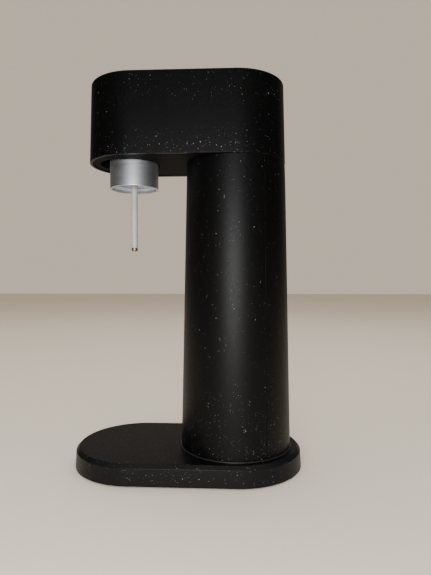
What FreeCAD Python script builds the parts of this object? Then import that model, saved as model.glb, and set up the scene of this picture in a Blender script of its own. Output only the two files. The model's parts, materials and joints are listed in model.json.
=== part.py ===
import FreeCAD
import Part
import math
import os
from FreeCAD import Vector

# Manual kitchen soda carbonator: an obround foot, a tapered round column that hides the gas
# cylinder, and an obround head that overhangs the bottle.  Millimetres.  +Z is up, the front
# (bottle side) faces -Y, and the origin is on the worktop under the middle of the foot.

# ------------------------------------------------------------------ driving dimensions
overall_height = 412.0
fit_gap = 0.3            # gap between neighbouring mouldings
slip_gap = 0.1           # gap round a screw shank, a disc or a dowel in its seat
bearing_gap = 0.05       # radial clearance of a running fit

# screws
screw_radius = 1.4
screw_head_radius = 2.8
screw_head_height = 1.8
screw_recess_reach = 1.6   # half the length of the cross in a screw head
screw_recess_half = 0.35   # half its width
screw_recess_depth = 1.1
low_head_height = 1.4      # screw heads that sit in a sink

# foot
base_length = 248.0
base_width = 140.0
base_height = 21.0
foot_stand = 1.0         # how far the rubber feet stand below the moulding
base_side_draft = 1.0
base_chamfer = 3.6
base_wall = 3.0
deck_thickness = 3.0
base_plate_thickness = 3.0
base_plate_recess = 1.0
stiffener_thickness = 2.0
stiffener_inset = 14.0     # from the foot's straight side
stiffener_front_y = -30.0
foot_radius = 8.0
foot_pocket = 1.5

# head
head_length = 213.5
head_overhang_y = -107.5   # front tip of the head
head_depth = 84.0          # height of the head's side wall
head_draft = 2.0
head_wall = 3.0
head_edge_radius = 1.6
underside_recess = 1.2
underside_thickness = 2.5

# column
column_top_space = 23.5    # from the gas cylinder to the outside of the column, at the top
column_base_space = 29.5   # the same at the bottom
column_wall = 3.0
seat_ring_height = 1.0
seat_ring_overhang = 1.2
shadow_gap = 0.5
cover_half_angle = 58.0    # rear cover spans this far each side of +Y
cover_edge_gap = 0.4

# bottle holder
collar_axis_y = -60.0
collar_space = 6.9         # from the bottle's thread to the outside of the collar
collar_wall = 2.0
collar_drop = 26.0         # how far the collar hangs below the head
collar_height = 36.0
bottle_thread_radius = 19.6
thread_depth = 1.2
thread_pitch = 4.2
thread_turns = 3
tube_radius = 3.5
tube_reach = 68.0          # nozzle tip below the collar's lower edge
tip_height = 3.6
tilt_limit = 14.0          # degrees
pivot_above_head_bottom = 38.0

# push button
button_radius = 32.9
button_gap = 0.5
button_travel = 8.0
button_dish = 1.0

# gas cylinder and valve
cylinder_radius = 30.0
cylinder_floor_gap = 20.0  # cylinder base above the worktop
valve_depth = 35.0         # top of the cylinder's valve below the top of the head
valve_thread_radius = 10.4
pin_travel = 2.0

# ------------------------------------------------------------------ derived places
screw_hole = screw_radius + slip_gap
deck_z = foot_stand + base_height
head_bottom_z = overall_height - head_depth
head_half = cylinder_radius + column_top_space
column_base_radius = cylinder_radius + column_base_space
head_rear_y = head_overhang_y + head_length
column_y = head_rear_y - head_half
column_top_radius = head_half
column_bottom_z = deck_z + seat_ring_height
column_top_z = head_bottom_z - shadow_gap
head_front_y = head_overhang_y + head_half
button_y = head_front_y
cylinder_top_z = overall_height - valve_depth
pivot_z = head_bottom_z + pivot_above_head_bottom
collar_radius = bottle_thread_radius + collar_space
collar_bottom_z = head_bottom_z - collar_drop
collar_top_z = collar_bottom_z + collar_height
tip_z = collar_bottom_z - tube_reach
underside_z = head_bottom_z + underside_recess
underside_top_z = underside_z + underside_thickness
base_plate_z = foot_stand + base_plate_recess
base_plate_top_z = base_plate_z + base_plate_thickness
stiffener_top_z = base_plate_top_z + stiffener_thickness
deck_under_z = deck_z - deck_thickness
head_roof_z = overall_height - head_wall
COLUMN_AXIS = Vector(0, column_y, 0)


def column_radius(z):
    """Outer radius of the tapered column at height z."""
    share = (z - column_bottom_z) / (head_bottom_z - column_bottom_z)
    return column_base_radius + (column_top_radius - column_base_radius) * share


# ------------------------------------------------------------------ shape helpers
def cyl(radius, z0, z1, x=0.0, y=0.0):
    """Upright cylinder from z0 to z1."""
    return Part.makeCylinder(radius, z1 - z0, Vector(x, y, z0))


def through(radius, x=0.0, y=0.0):
    """Upright cylinder taller than the whole machine, for drilling right through a piece."""
    return cyl(radius, -1.0, overall_height + 1.0, x, y)


def tube(outer, inner, z0, z1, x=0.0, y=0.0):
    """Upright tube from z0 to z1."""
    return cyl(outer, z0, z1, x, y).cut(cyl(inner, z0 - 1, z1 + 1, x, y))


def cone(r0, r1, z0, z1, x=0.0, y=0.0):
    """Upright cone frustum, radius r0 at z0 and r1 at z1."""
    return Part.makeCone(r0, r1, z1 - z0, Vector(x, y, z0))


def along_x(radius, x0, x1, y, z):
    """Cylinder lying along X."""
    return Part.makeCylinder(radius, x1 - x0, Vector(x0, y, z), Vector(1, 0, 0))


def across(radius, y, z):
    """Cylinder along X that is wider than the head, for drilling right across a piece."""
    return along_x(radius, -head_half, head_half, y, z)


def along_y(radius, y0, y1, x, z):
    """Cylinder lying along Y."""
    return Part.makeCylinder(radius, y1 - y0, Vector(x, y0, z), Vector(0, 1, 0))


def pair(side, inner, outer):
    """Lower and higher x of a span that lies at a positive or negative side."""
    return sorted((side * inner, side * outer))


def block(x0, x1, y0, y1, z0, z1):
    """Box between two corners."""
    return Part.makeBox(x1 - x0, y1 - y0, z1 - z0, Vector(x0, y0, z0))


def fuse(shapes):
    """One solid from several that overlap."""
    shapes = list(shapes)
    return shapes[0].multiFuse(shapes[1:]).removeSplitter() if len(shapes) > 1 else shapes[0]


def cut(shape, *tools):
    """shape less every tool."""
    return shape.cut(list(tools)).removeSplitter() if tools else shape


def group(shapes):
    """Separate solids that share one node."""
    return Part.makeCompound(list(shapes))


def obround_wire(front_y, rear_y, half_width, z):
    """Outline of a slot shape lying along Y: two straight sides and two round ends."""
    yf, yr = front_y + half_width, rear_y - half_width
    corner = [Vector(half_width, yf, z), Vector(half_width, yr, z),
              Vector(-half_width, yr, z), Vector(-half_width, yf, z)]
    return Part.Wire([
        Part.LineSegment(corner[0], corner[1]).toShape(),
        Part.Arc(corner[1], Vector(0, rear_y, z), corner[2]).toShape(),
        Part.LineSegment(corner[2], corner[3]).toShape(),
        Part.Arc(corner[3], Vector(0, front_y, z), corner[0]).toShape()])


def obround(front_y, rear_y, half_width, z0, z1, draft=0.0):
    """Obround block from z0 to z1 whose sides lean in by draft at the top."""
    if draft == 0.0:
        face = Part.Face(obround_wire(front_y, rear_y, half_width, z0))
        return face.extrude(Vector(0, 0, z1 - z0))
    low = obround_wire(front_y, rear_y, half_width, z0)
    high = obround_wire(front_y + draft, rear_y - draft, half_width - draft, z1)
    return Part.makeLoft([low, high], True, True)


def wedge(half_angle, middle_angle, z0, z1, centre=COLUMN_AXIS):
    """Pie-slice prism about a vertical axis, for cutting arcs.  Angles in degrees from +X."""
    reach = base_width
    points = [Vector(centre.x, centre.y, z0)]
    steps = max(2, int(math.ceil(half_angle / 30.0)) * 2)
    for i in range(steps + 1):
        a = math.radians(middle_angle - half_angle + 2.0 * half_angle * i / steps)
        points.append(Vector(centre.x + reach * math.cos(a), centre.y + reach * math.sin(a), z0))
    face = Part.Face(Part.makePolygon(points + [points[0]]))
    return face.extrude(Vector(0, 0, z1 - z0))


def polar(radius, angle, centre_y=column_y):
    """x, y of a point at an angle in degrees from -Y, about an axis at centre_y."""
    a = math.radians(angle)
    return radius * math.sin(a), centre_y - radius * math.cos(a)


def rounded(shape, radius, chosen):
    """shape with a fillet on the edges that chosen(edge) picks."""
    edges = [e for e in shape.Edges if chosen(e)]
    return shape.makeFillet(radius, edges) if edges else shape


def on_level(z, tolerance=0.01):
    """Picks edges that lie flat at height z."""
    return lambda e: abs(e.BoundBox.ZMin - z) < tolerance and abs(e.BoundBox.ZMax - z) < tolerance


def screw(x, y, z, length, head_height=screw_head_height, up=True):
    """Pan-head cross-recess screw whose head rests at z and whose shank points up or down."""
    s = 1.0 if up else -1.0
    seat = Vector(x, y, z)
    head = Part.makeCylinder(screw_head_radius, head_height, seat, Vector(0, 0, -s))
    shank = Part.makeCylinder(screw_radius, length, seat, Vector(0, 0, s))
    floor = head_height - min(screw_recess_depth, 0.8 * head_height)
    recess_z = sorted([z - s * head_height, z - s * floor])
    reach, half = screw_recess_reach, screw_recess_half
    cross = [block(x - reach, x + reach, y - half, y + half, *recess_z),
             block(x - half, x + half, y - reach, y + reach, *recess_z)]
    return cut(fuse([head, shank]), *cross)


def side_screw(x, y, z, length):
    """Pan-head screw along X.  Its head rests at x, outside, and the shank points inwards."""
    s = -1.0 if x > 0 else 1.0
    seat = Vector(x, y, z)
    head = Part.makeCylinder(screw_head_radius, screw_head_height, seat, Vector(-s, 0, 0))
    return fuse([head, Part.makeCylinder(screw_radius, length, seat, Vector(s, 0, 0))])


def coil_spring(x, y, z0, z1, mean_radius, wire_radius, turns):
    """Round-wire compression spring along Z between two planes."""
    height = z1 - z0 - 2.0 * wire_radius
    path = Part.makeHelix(height / turns, height, mean_radius)
    top, bottom = Vector(mean_radius, 0, wire_radius), Vector(mean_radius, 0, -wire_radius)
    inside = Vector(mean_radius - wire_radius, 0, 0)
    outside = Vector(mean_radius + wire_radius, 0, 0)
    section = Part.Wire([Part.Arc(top, inside, bottom).toShape(),
                         Part.Arc(bottom, outside, top).toShape()])
    sweep = Part.Wire(path.Edges).makePipeShell([section], True, True)
    sweep.translate(Vector(x, y, z0 + wire_radius))
    return sweep


def o_ring(x, y, z, mean_radius, wire_radius):
    """Round-section ring lying flat."""
    return Part.makeTorus(mean_radius, wire_radius, Vector(x, y, z), Vector(0, 0, 1))


PARTS = {}


def keep(name, shape):
    """Stores a finished piece under its node name."""
    PARTS[name] = shape


# ------------------------------------------------------------------ foot
base_half = base_width / 2.0
base_end = base_length / 2.0
post_radius = 4.0
well_radius = cylinder_radius + 18.0
frame_outer_radius = 46.0
plate_edge = base_wall + fit_gap
plate_clearance = 1.5          # round the gas cylinder where it passes through a plate
head_sink_radius = screw_head_radius + 0.4
head_sink_depth = 1.6
driver_access_radius = screw_head_radius + 0.6
SIDES = (-1, 1)
BASE_POSTS = [(0.0, -base_end + 16.0)]
for post_side in SIDES:
    BASE_POSTS += [(post_side * (base_half - 15.0), -base_half + 10.0),
                   (post_side * (base_half - 8.5), 12.0)]
BASE_POSTS += [polar(well_radius + 9.5, post_angle) for post_angle in (130.0, 230.0)]
PLATE_POSTS = [(side * 30.0, -12.0) for side in SIDES]
PLATE_POSTS += [polar(well_radius + 6.5, post_angle) for post_angle in (165.0, 195.0)]
FOOT_SPOTS = [(side * (base_half - 31.0), -base_end + 34.0) for side in SIDES]
FOOT_SPOTS += [(side * (base_half - 15.0), -2.0) for side in SIDES]
FOOT_SPOTS += [(side * (base_half - 37.0), base_end - 24.5) for side in SIDES]


def base_cover():
    """Moulded foot: leaning sides, a chamfered rim, a flat deck and screw posts underneath."""
    side_top = deck_z - base_chamfer
    slope = base_side_draft / (side_top - foot_stand)
    lower = obround(-base_end, base_end, base_half, foot_stand, side_top, base_side_draft)
    rim_end = base_end - base_side_draft
    rim = obround(-rim_end, rim_end, base_half - base_side_draft, side_top, deck_z, base_chamfer)
    outer = fuse([lower, rim])
    outer = rounded(outer, 0.6, on_level(deck_z))
    outer = rounded(outer, 0.6, on_level(side_top))
    outer = rounded(outer, 0.5, on_level(foot_stand))
    inside = obround(-base_end + base_wall, base_end - base_wall, base_half - base_wall,
                     foot_stand - 1.0, deck_under_z, slope * (deck_under_z - foot_stand + 1.0))
    shell = cut(outer, inside, cyl(well_radius, foot_stand, deck_z + 1, 0, column_y))
    posts = [cyl(post_radius, base_plate_top_z, deck_under_z + 1, x, y) for x, y in BASE_POSTS]
    posts += [cyl(post_radius, frame_foot_z, deck_under_z + 1, x, y) for x, y in PLATE_POSTS]
    shell = fuse([shell] + posts)
    holes = [cyl(screw_hole, base_plate_top_z - 1, deck_under_z - 2, x, y)
             for x, y in BASE_POSTS + PLATE_POSTS]
    holes += [cyl(screw_hole, deck_under_z - 1, deck_z + 1, x, y)
              for x, y in COLUMN_SCREWS]
    return cut(shell, *holes)


def base_plate():
    """Closing plate under the foot, with pockets for the rubber feet."""
    body = obround(-base_end + plate_edge, base_end - plate_edge, base_half - plate_edge,
                   base_plate_z, base_plate_top_z)
    pockets = [cyl(foot_radius + slip_gap, base_plate_z - 1, base_plate_z + foot_pocket, x, y)
               for x, y in FOOT_SPOTS]
    holes = [cyl(screw_hole, base_plate_z - 1, base_plate_top_z + 1, x, y)
             for x, y in BASE_POSTS]
    sinks = [cyl(head_sink_radius, base_plate_z - 1, base_plate_z + head_sink_depth, x, y)
             for x, y in BASE_POSTS]
    access = [cyl(driver_access_radius, base_plate_z - 1, base_plate_top_z + 1, x, y)
              for x, y in FRAME_SCREWS + PLATE_POSTS]
    return cut(body, *(pockets + holes + sinks + access))


def base_stiffener():
    """Steel plate inside the foot that carries the column frame."""
    body = obround(stiffener_front_y, base_end - 10.0, base_half - stiffener_inset,
                   base_plate_top_z + fit_gap, frame_foot_z)
    holes = [through(cylinder_radius + plate_clearance, 0, column_y)]
    holes += [through(post_radius + 1.0, x, y) for x, y in BASE_POSTS]
    holes += [through(screw_hole, x, y)
              for x, y in FRAME_SCREWS + PLATE_POSTS]
    return cut(body, *holes)


def rubber_feet():
    """Six non-slip pads."""
    pads = []
    for x, y in FOOT_SPOTS:
        pad = cyl(foot_radius, 0, base_plate_z + foot_pocket, x, y)
        pads.append(rounded(pad, 0.5, on_level(0.0)))
    return group(pads)


# ------------------------------------------------------------------ column
frame_radius = cylinder_radius + 3.0
frame_wall = 2.5
frame_arc = 95.0
frame_foot_z = stiffener_top_z + fit_gap
frame_top_z = head_bottom_z + 15.0
frame_flange = 4.0
wall_inner = 19.5          # inner faces of the chassis walls, each side of the middle
wall_outer = 22.5
frame_screw_angle = math.degrees(math.asin((wall_inner - 4.5) / (frame_radius + 7.0)))
FRAME_SCREWS = [polar(frame_radius + 7.0, a)
                for a in (-75.0, -frame_screw_angle, frame_screw_angle, 75.0)]
COLUMN_SCREWS = [polar(column_base_radius - 7.2, a) for a in (-80.0, 0.0, 80.0)]
magnet_radius = 3.5
magnet_height = 3.0
magnet_land = 1.0          # plastic round a magnet
magnet_pad = 6.0           # half the height of a magnet's pad
ledge_drop = fit_gap + 1.4  # how far the cover's ledge reaches in from the wall
ledge_lap = 3.0            # degrees that the ledge runs under the cover
ledge_start = 6.0          # degrees past the cover's edge where the ledge begins
magnet_x = ((column_top_radius - column_wall - ledge_drop)
            * math.sin(math.radians(cover_half_angle - ledge_lap)) - 5.6)
magnet_face_y = column_y + 24.0
rib_half = 1.0
rib_depth = 2.4
notch_radius = 11.0        # finger notch at the top of the rear cover
base_flange_width = 10.0   # turned-in foot of the column, for its screws
base_flange_height = 3.0
MAGNET_LEVELS = (60.0, 180.0, 300.0)


def column_wall_solid(z0, z1, out=0.0, wall=column_wall):
    """Tapered tube that follows the column between two heights."""
    outer = cone(column_radius(z0) + out, column_radius(z1) + out, z0, z1, 0, column_y)
    r0, r1 = column_radius(z0 - 1) + out - wall, column_radius(z1 + 1) + out - wall
    return cut(outer, cone(r0, r1, z0 - 1, z1 + 1, 0, column_y))


def magnet_limit(z):
    """Taper that keeps a magnet's pad behind the column's outer face."""
    z0, z1 = z - magnet_pad, z + magnet_pad
    return cone(column_radius(z0) - 1, column_radius(z1) - 1, z0, z1, 0, column_y)


def seat_ring():
    """Thin ring between the foot and the column that leaves a fine line round the column."""
    ring = tube(column_base_radius + seat_ring_overhang, column_base_radius - 1.0 - base_flange_width,
                deck_z, column_bottom_z, 0, column_y)
    ring = rounded(ring, 0.35, lambda e: on_level(column_bottom_z)(e)
                   and e.BoundBox.XMax > column_base_radius)
    holes = [cyl(screw_hole, 0, column_bottom_z + 1, x, y)
             for x, y in COLUMN_SCREWS]
    return cut(ring, *holes)


def column_shell():
    """Front of the column: a tapered shell open at the back for the gas cylinder."""
    z0, z1 = column_bottom_z, column_top_z
    wall = column_wall_solid(z0, z1)
    wall = rounded(wall, 0.5, lambda e: on_level(z1)(e)
                   and e.BoundBox.XMax > column_radius(z1) - 0.5 * column_wall)
    opening = wedge(cover_half_angle, 90.0, z0 - 1, z1 + 1)
    shell = cut(wall, opening)
    strips = [(cover_half_angle - ledge_lap, -column_wall - fit_gap),
              (cover_half_angle + 1.0, -column_wall + 0.2)]
    ledges = []
    for start, out in strips:
        strip = column_wall_solid(z0, z1, out, out + column_wall + ledge_drop)
        strip = cut(strip, wedge(start, 90.0, z0 - 1, z1 + 1))
        far_side = wedge(180.0 - cover_half_angle - ledge_start, -90.0, z0 - 1, z1 + 1)
        ledges.append(cut(strip, far_side))
    flange = tube(column_base_radius - 1.0, column_base_radius - 1.0 - base_flange_width,
                  z0, z0 + base_flange_height, 0, column_y)
    flange = cut(flange, wedge(cover_half_angle + ledge_start, 90.0, z0 - 1, z1 + 1))
    pieces = [shell, flange] + ledges
    pockets = []
    for z in MAGNET_LEVELS:
        limit = magnet_limit(z)
        for side in SIDES:
            x0, x1 = pair(side, magnet_x - magnet_radius - magnet_land, column_base_radius)
            lump = block(x0, x1, magnet_face_y - 8.0, magnet_face_y, z - magnet_pad, z + magnet_pad)
            pieces.append(lump.common(limit))
            pockets.append(along_y(magnet_radius + slip_gap, magnet_face_y - magnet_height,
                                   magnet_face_y + 1, side * magnet_x, z))
    body = fuse(pieces)
    pilots = [cyl(screw_hole, z0 - 1, z0 + 4, x, y) for x, y in COLUMN_SCREWS]
    return cut(body, *(pockets + pilots))


def rear_cover():
    """Removable back of the column, held by magnets, with a finger notch under the head."""
    z0, z1 = column_bottom_z + cover_edge_gap, column_top_z
    wall = column_wall_solid(z0, z1)
    wall = rounded(wall, 0.5, lambda e: on_level(z1)(e)
                   and e.BoundBox.XMax > column_radius(z1) - 0.5 * column_wall)
    edge_trim = math.degrees(cover_edge_gap / column_top_radius)
    keep_slice = wedge(cover_half_angle - edge_trim, 90.0, z0 - 1, z1 + 1)
    pieces = [wall.common(keep_slice)]
    pockets = []
    for z in MAGNET_LEVELS:
        limit = magnet_limit(z)
        for side in SIDES:
            lump = along_y(magnet_radius + 2.0 * magnet_land, magnet_face_y + fit_gap, magnet_face_y + 30.0,
                           side * magnet_x, z)
            pieces.append(lump.common(limit))
            pockets.append(along_y(magnet_radius + slip_gap, magnet_face_y, magnet_face_y
                                   + fit_gap + magnet_height, side * magnet_x, z))
    for z in range(100, 320, 40):
        rib = column_wall_solid(z - rib_half, z + rib_half, -column_wall + 0.1, rib_depth + 0.1)
        pieces.append(rib.common(wedge(cover_half_angle - 18.0, 90.0, z - 2, z + 2)))
    notch = along_y(notch_radius, column_y, head_rear_y + 20.0, 0, z1)
    return cut(fuse(pieces), *(pockets + [notch]))


def magnets(y0):
    """Six disc magnets in line with the pockets."""
    return group(along_y(magnet_radius, y0, y0 + magnet_height, side * magnet_x, z)
                 for z in MAGNET_LEVELS for side in SIDES)


def column_frame():
    """Ribbed inner frame round the front of the cylinder, from the foot up into the head."""
    front = wedge(frame_arc, -90.0, frame_foot_z - 1, frame_top_z + 1)
    cradle = tube(frame_radius + frame_wall, frame_radius, frame_foot_z, frame_top_z, 0, column_y)
    foot = tube(frame_outer_radius, frame_radius, frame_foot_z, frame_foot_z + 4, 0, column_y)
    top = tube(frame_outer_radius, frame_radius, frame_top_z - frame_flange, frame_top_z,
               0, column_y)
    rings = [tube(frame_outer_radius - 1, frame_radius, z, z + 2.5, 0, column_y)
             for z in (100.0, 180.0, 260.0)]
    pieces = [s.common(front) for s in [cradle, foot, top] + rings]
    for a in (-90.0, -50.0, 0.0, 50.0, 90.0):
        rib = block(-1.25, 1.25, -frame_outer_radius + 1, -frame_radius - 1,
                    frame_foot_z + 2, frame_top_z - 1)
        rib.rotate(Vector(0, 0, 0), Vector(0, 0, 1), a)
        rib.translate(COLUMN_AXIS)
        pieces.append(rib)
    holes = [cyl(screw_hole, frame_foot_z - 1, frame_foot_z + 5, x, y)
             for x, y in FRAME_SCREWS]
    holes += [cyl(screw_hole, frame_top_z - 5, frame_top_z + 1, x, y)
              for x, y in FRAME_SCREWS]
    return cut(fuse(pieces), *holes)


# ------------------------------------------------------------------ head
chassis_floor = frame_top_z + 4.0
bridge_top_z = overall_height - 28.0
bridge_thickness = 2.5
lever_pivot_y = column_y + (column_y - button_y) * pin_travel / (button_travel - pin_travel)
lever_pivot_z = overall_height - 13.0
lever_pin_radius = 2.5
tilt_pin_radius = 3.0
chassis_front_y = collar_axis_y - 18.0
chassis_rear_y = lever_pivot_y + 6.0
guide_radius = button_radius + button_gap
guide_wall = 3.0
shell_post_radius = 4.5
SHELL_POSTS = [(side * 37.0, y) for side in SIDES for y in (-4.0, column_y + 14.0)]
UNDERSIDE_POSTS = [polar(41.5, post_angle) for post_angle in (133.0, 227.0)]
spring_x = 18.0
lug_angles = (90.0, 210.0, 330.0)


def head_shell():
    """Head cover: leaning obround wall and a flat top with a round hole for the button."""
    outer = obround(head_overhang_y, head_rear_y, head_half, head_bottom_z, overall_height,
                    head_draft)
    outer = rounded(outer, head_edge_radius, on_level(overall_height))
    outer = rounded(outer, 0.6, on_level(head_bottom_z))
    slope = head_draft / head_depth
    inside = obround(head_overhang_y + head_wall, head_rear_y - head_wall, head_half - head_wall,
                     head_bottom_z - 1, head_roof_z, slope * (head_roof_z - head_bottom_z + 1))
    shell = cut(outer, inside)
    posts = [cyl(shell_post_radius, chassis_floor, head_roof_z + 1, x, y) for x, y in SHELL_POSTS]
    posts += [cyl(shell_post_radius, underside_top_z, head_roof_z + 1, x, y)
              for x, y in UNDERSIDE_POSTS]
    shell = fuse([shell] + posts)
    holes = [cyl(guide_radius, head_roof_z - 1, overall_height + 1, 0, button_y)]
    holes += [cyl(screw_hole, chassis_floor - 1, chassis_floor + 12, x, y)
              for x, y in SHELL_POSTS]
    holes += [cyl(screw_hole, underside_top_z - 1, underside_top_z + 10, x, y)
              for x, y in UNDERSIDE_POSTS]
    shell = cut(shell, *holes)
    return rounded(shell, 0.5, lambda e: on_level(overall_height)(e)
                   and abs(e.BoundBox.XMax - guide_radius) < 0.01)


def holder_slot(extra, z0, z1):
    """Opening for the collar: round at the back and drawn out forwards for the tilt."""
    reach = (pivot_z - underside_z) * math.sin(math.radians(tilt_limit))
    radius = collar_radius + extra
    rear = cyl(radius, z0, z1, 0, collar_axis_y)
    front = cyl(radius, z0, z1, 0, collar_axis_y - reach)
    middle = block(-radius, radius, collar_axis_y - reach, collar_axis_y, z0, z1)
    return fuse([rear, front, middle])


def head_underside():
    """Plate that closes the head from below, with a slot for the collar."""
    gap = head_wall + fit_gap
    body = obround(head_overhang_y + gap, head_rear_y - gap, head_half - gap,
                   underside_z, underside_top_z)
    lip = cut(holder_slot(3.6, underside_z + 0.5, underside_top_z + 4.0),
              holder_slot(1.6, underside_z - 1, underside_top_z + 5.0))
    body = fuse([cut(body, holder_slot(1.6, underside_z - 1, underside_top_z + 1)), lip])
    holes = [cyl(frame_outer_radius + 1.0, underside_z - 1, underside_top_z + 9, 0,
                 column_y).common(wedge(frame_arc + 3.0, -90.0, 0, overall_height)),
             through(frame_radius, 0, column_y)]
    holes += [cyl(screw_hole, 0, underside_top_z + 1, x, y)
              for x, y in UNDERSIDE_POSTS]
    holes += [cyl(head_sink_radius, underside_z - 1, underside_z + 1.0, x, y)
              for x, y in UNDERSIDE_POSTS]
    return cut(body, *holes)


def head_chassis():
    """Cast bridge on the frame: it holds the valve block, both pivots and the button guide."""
    disc = cyl(frame_outer_radius, frame_top_z, chassis_floor, 0, column_y)
    apron = block(-42.0, 42.0, -11.0, 22.0, frame_top_z, chassis_floor)
    walls = [block(min(s * wall_inner, s * wall_outer), max(s * wall_inner, s * wall_outer),
                   chassis_front_y, chassis_rear_y, frame_top_z + 2, bridge_top_z)
             for s in SIDES]
    ears = []
    for s in SIDES:
        x0, x1 = pair(s, wall_inner, wall_outer)
        ears.append(block(x0, x1, lever_pivot_y - 6, lever_pivot_y + 6, bridge_top_z - 5,
                          lever_pivot_z))
        ears.append(along_x(6.0, x0, x1, lever_pivot_y, lever_pivot_z))
    bridge = [cyl(guide_radius + guide_wall + 6.5, bridge_top_z - bridge_thickness, bridge_top_z,
                  0, button_y),
              block(-wall_outer, wall_outer, button_y, button_y + 42, bridge_top_z
                    - bridge_thickness, bridge_top_z)]
    back = block(-wall_outer, wall_outer, chassis_rear_y - 3, chassis_rear_y,
                 chassis_floor, bridge_top_z)
    dowels = [cyl(2.2, bridge_top_z - 1, bridge_top_z + 7, s * spring_x, button_y)
              for s in SIDES]
    body = fuse([disc, apron] + walls + ears + bridge + [back] + dowels)
    holes = [cyl(17.0, 0, chassis_floor + 1, 0, column_y),
             across(lever_pin_radius + bearing_gap, lever_pivot_y, lever_pivot_z),
             across(tilt_pin_radius + bearing_gap, collar_axis_y, pivot_z)]
    holes += [cyl(screw_hole, 0, chassis_floor + 1, x, y)
              for x, y in SHELL_POSTS + FRAME_SCREWS]
    holes += [cyl(shell_post_radius + 1.0, 0, chassis_floor + 1, x, y)
              for x, y in UNDERSIDE_POSTS]
    holes += [across(screw_hole, y, z) for y, z in BLOCK_SCREWS]
    holes += [cyl(screw_hole, bridge_top_z - 4, bridge_top_z + 1, x, y)
              for x, y in GUIDE_SCREWS]
    return cut(body, *holes)


# ------------------------------------------------------------------ button and lever
GUIDE_SCREWS = [polar(guide_radius + guide_wall + 3.0, a, button_y)
                for a in (-45.0, 45.0, 150.0, 210.0)]
button_top_z = overall_height - 0.4
skirt_bottom_z = overall_height - 16.0
skirt_wall = 2.0
lug_height = 3.0
lever_half = 8.0
lever_plate = 2.5
lever_top_z = lever_pivot_z + 3.5
lever_flange_z = lever_pivot_z - 6.0
stem_gap = 0.4
plunger_top_z = lever_top_z - lever_plate - 6.0
pad_rivet_radius = 1.95
lever_hole_radius = 3.5
bush_radius = 4.5
clip_gap = 0.6            # from the chassis wall to the clip's groove
clip_thickness = 0.8


def lug_shape(angle, inner, outer, half_width, z0, z1):
    """Small block at the rim of the button, used for its lugs and for the slots they run in."""
    piece = block(-half_width, half_width, -outer, -inner, z0, z1)
    piece.rotate(Vector(0, 0, 0), Vector(0, 0, 1), angle - 90.0)
    piece.translate(Vector(0, button_y, 0))
    return piece


def button_guide():
    """Ring fixed on the bridge that keeps the button upright and stops it at the top."""
    z0, z1 = bridge_top_z, head_roof_z - fit_gap
    ring = tube(guide_radius + guide_wall, guide_radius, z0, z1, 0, button_y)
    feet = [cyl(3.4, z0, z0 + 3, x, y) for x, y in GUIDE_SCREWS]
    body = fuse([ring] + feet)
    slots = [lug_shape(a, guide_radius - 2, guide_radius + guide_wall + 5, 3.6, z0 + 3,
                       skirt_bottom_z + lug_height + 0.3) for a in lug_angles]
    passage = block(-lever_half - 2, lever_half + 2, button_y, button_y + 60, z0 - 1, z1 + 1)
    holes = [cyl(screw_hole, z0 - 1, z0 + 4, x, y) for x, y in GUIDE_SCREWS]
    return cut(body, *(slots + [passage] + holes))


def push_button():
    """Round dished button with a guiding skirt, three stop lugs and a centre stem."""
    inner_z = button_top_z - 3.0
    cap = cyl(button_radius, skirt_bottom_z, button_top_z, 0, button_y)
    cap = rounded(cap, 0.8, on_level(button_top_z))
    hollow = cyl(button_radius - skirt_wall, skirt_bottom_z - 1, inner_z, 0, button_y)
    dish_radius = (0.86 * button_radius) ** 2 / (2 * button_dish) + button_dish / 2
    dish = Part.makeSphere(dish_radius, Vector(0, button_y, button_top_z - button_dish
                                               + dish_radius))
    passage = block(-lever_half - 2, lever_half + 2, button_y + 10, button_y + 60,
                    skirt_bottom_z - 1, lever_top_z + 3.0)
    stem = cyl(5.0, lever_top_z + stem_gap, inner_z + 0.5, 0, button_y)
    dowels = [cyl(2.2, inner_z - 6, inner_z + 0.5, s * spring_x, button_y) for s in SIDES]
    webs = [block(-0.9, 0.9, button_y - button_radius + 1.5, button_y - 4, inner_z - 3,
                  inner_z + 0.5)]
    lugs = [lug_shape(a, button_radius - 1.0, guide_radius + guide_wall - 0.8, 3.0,
                      skirt_bottom_z, skirt_bottom_z + lug_height) for a in lug_angles]
    body = cut(cap, hollow, dish, passage)
    return fuse([body, stem] + dowels + webs + lugs)


def lever():
    """Folded steel channel from the rear pivot, over the valve, to the button's stem."""
    y0, y1 = button_y - 8.0, lever_pivot_y + 5.5
    plate = block(-lever_half, lever_half, y0, y1 - 2, lever_top_z - lever_plate, lever_top_z)
    flanges = []
    for s in SIDES:
        x0, x1 = pair(s, lever_half - lever_plate, lever_half)
        flanges.append(block(x0, x1, y0 + 10, lever_pivot_y, lever_flange_z, lever_top_z))
        flanges.append(along_x(5.5, x0, x1, lever_pivot_y, lever_pivot_z))
    nose = cyl(lever_half, lever_top_z - lever_plate, lever_top_z, 0, y0)
    body = fuse([plate, nose] + flanges)
    holes = [across(lever_pin_radius + bearing_gap, lever_pivot_y, lever_pivot_z),
             through(pad_rivet_radius + bearing_gap, 0, column_y)]
    holes += [through(lever_hole_radius, 0, y) for y in (-20.0, 5.0, 30.0)]
    return cut(body, *holes)


def lever_pad():
    """Hardened button riveted under the lever, above the plunger."""
    low = plunger_top_z + fit_gap
    body = cyl(4.5, low, lever_top_z - lever_plate, 0, column_y)
    body = rounded(body, 1.0, on_level(low))
    return fuse([body, cyl(pad_rivet_radius, lever_top_z - lever_plate - 0.5, lever_top_z,
                           0, column_y)])


def lever_bushes():
    """Two plain bushes that centre the lever between the chassis ears."""
    bushes = []
    for s in SIDES:
        x0, x1 = pair(s, lever_half + fit_gap, wall_inner - fit_gap)
        bushes.append(cut(along_x(bush_radius, x0, x1, lever_pivot_y, lever_pivot_z),
                          across(lever_pin_radius + bearing_gap, lever_pivot_y, lever_pivot_z)))
    return group(bushes)


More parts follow.
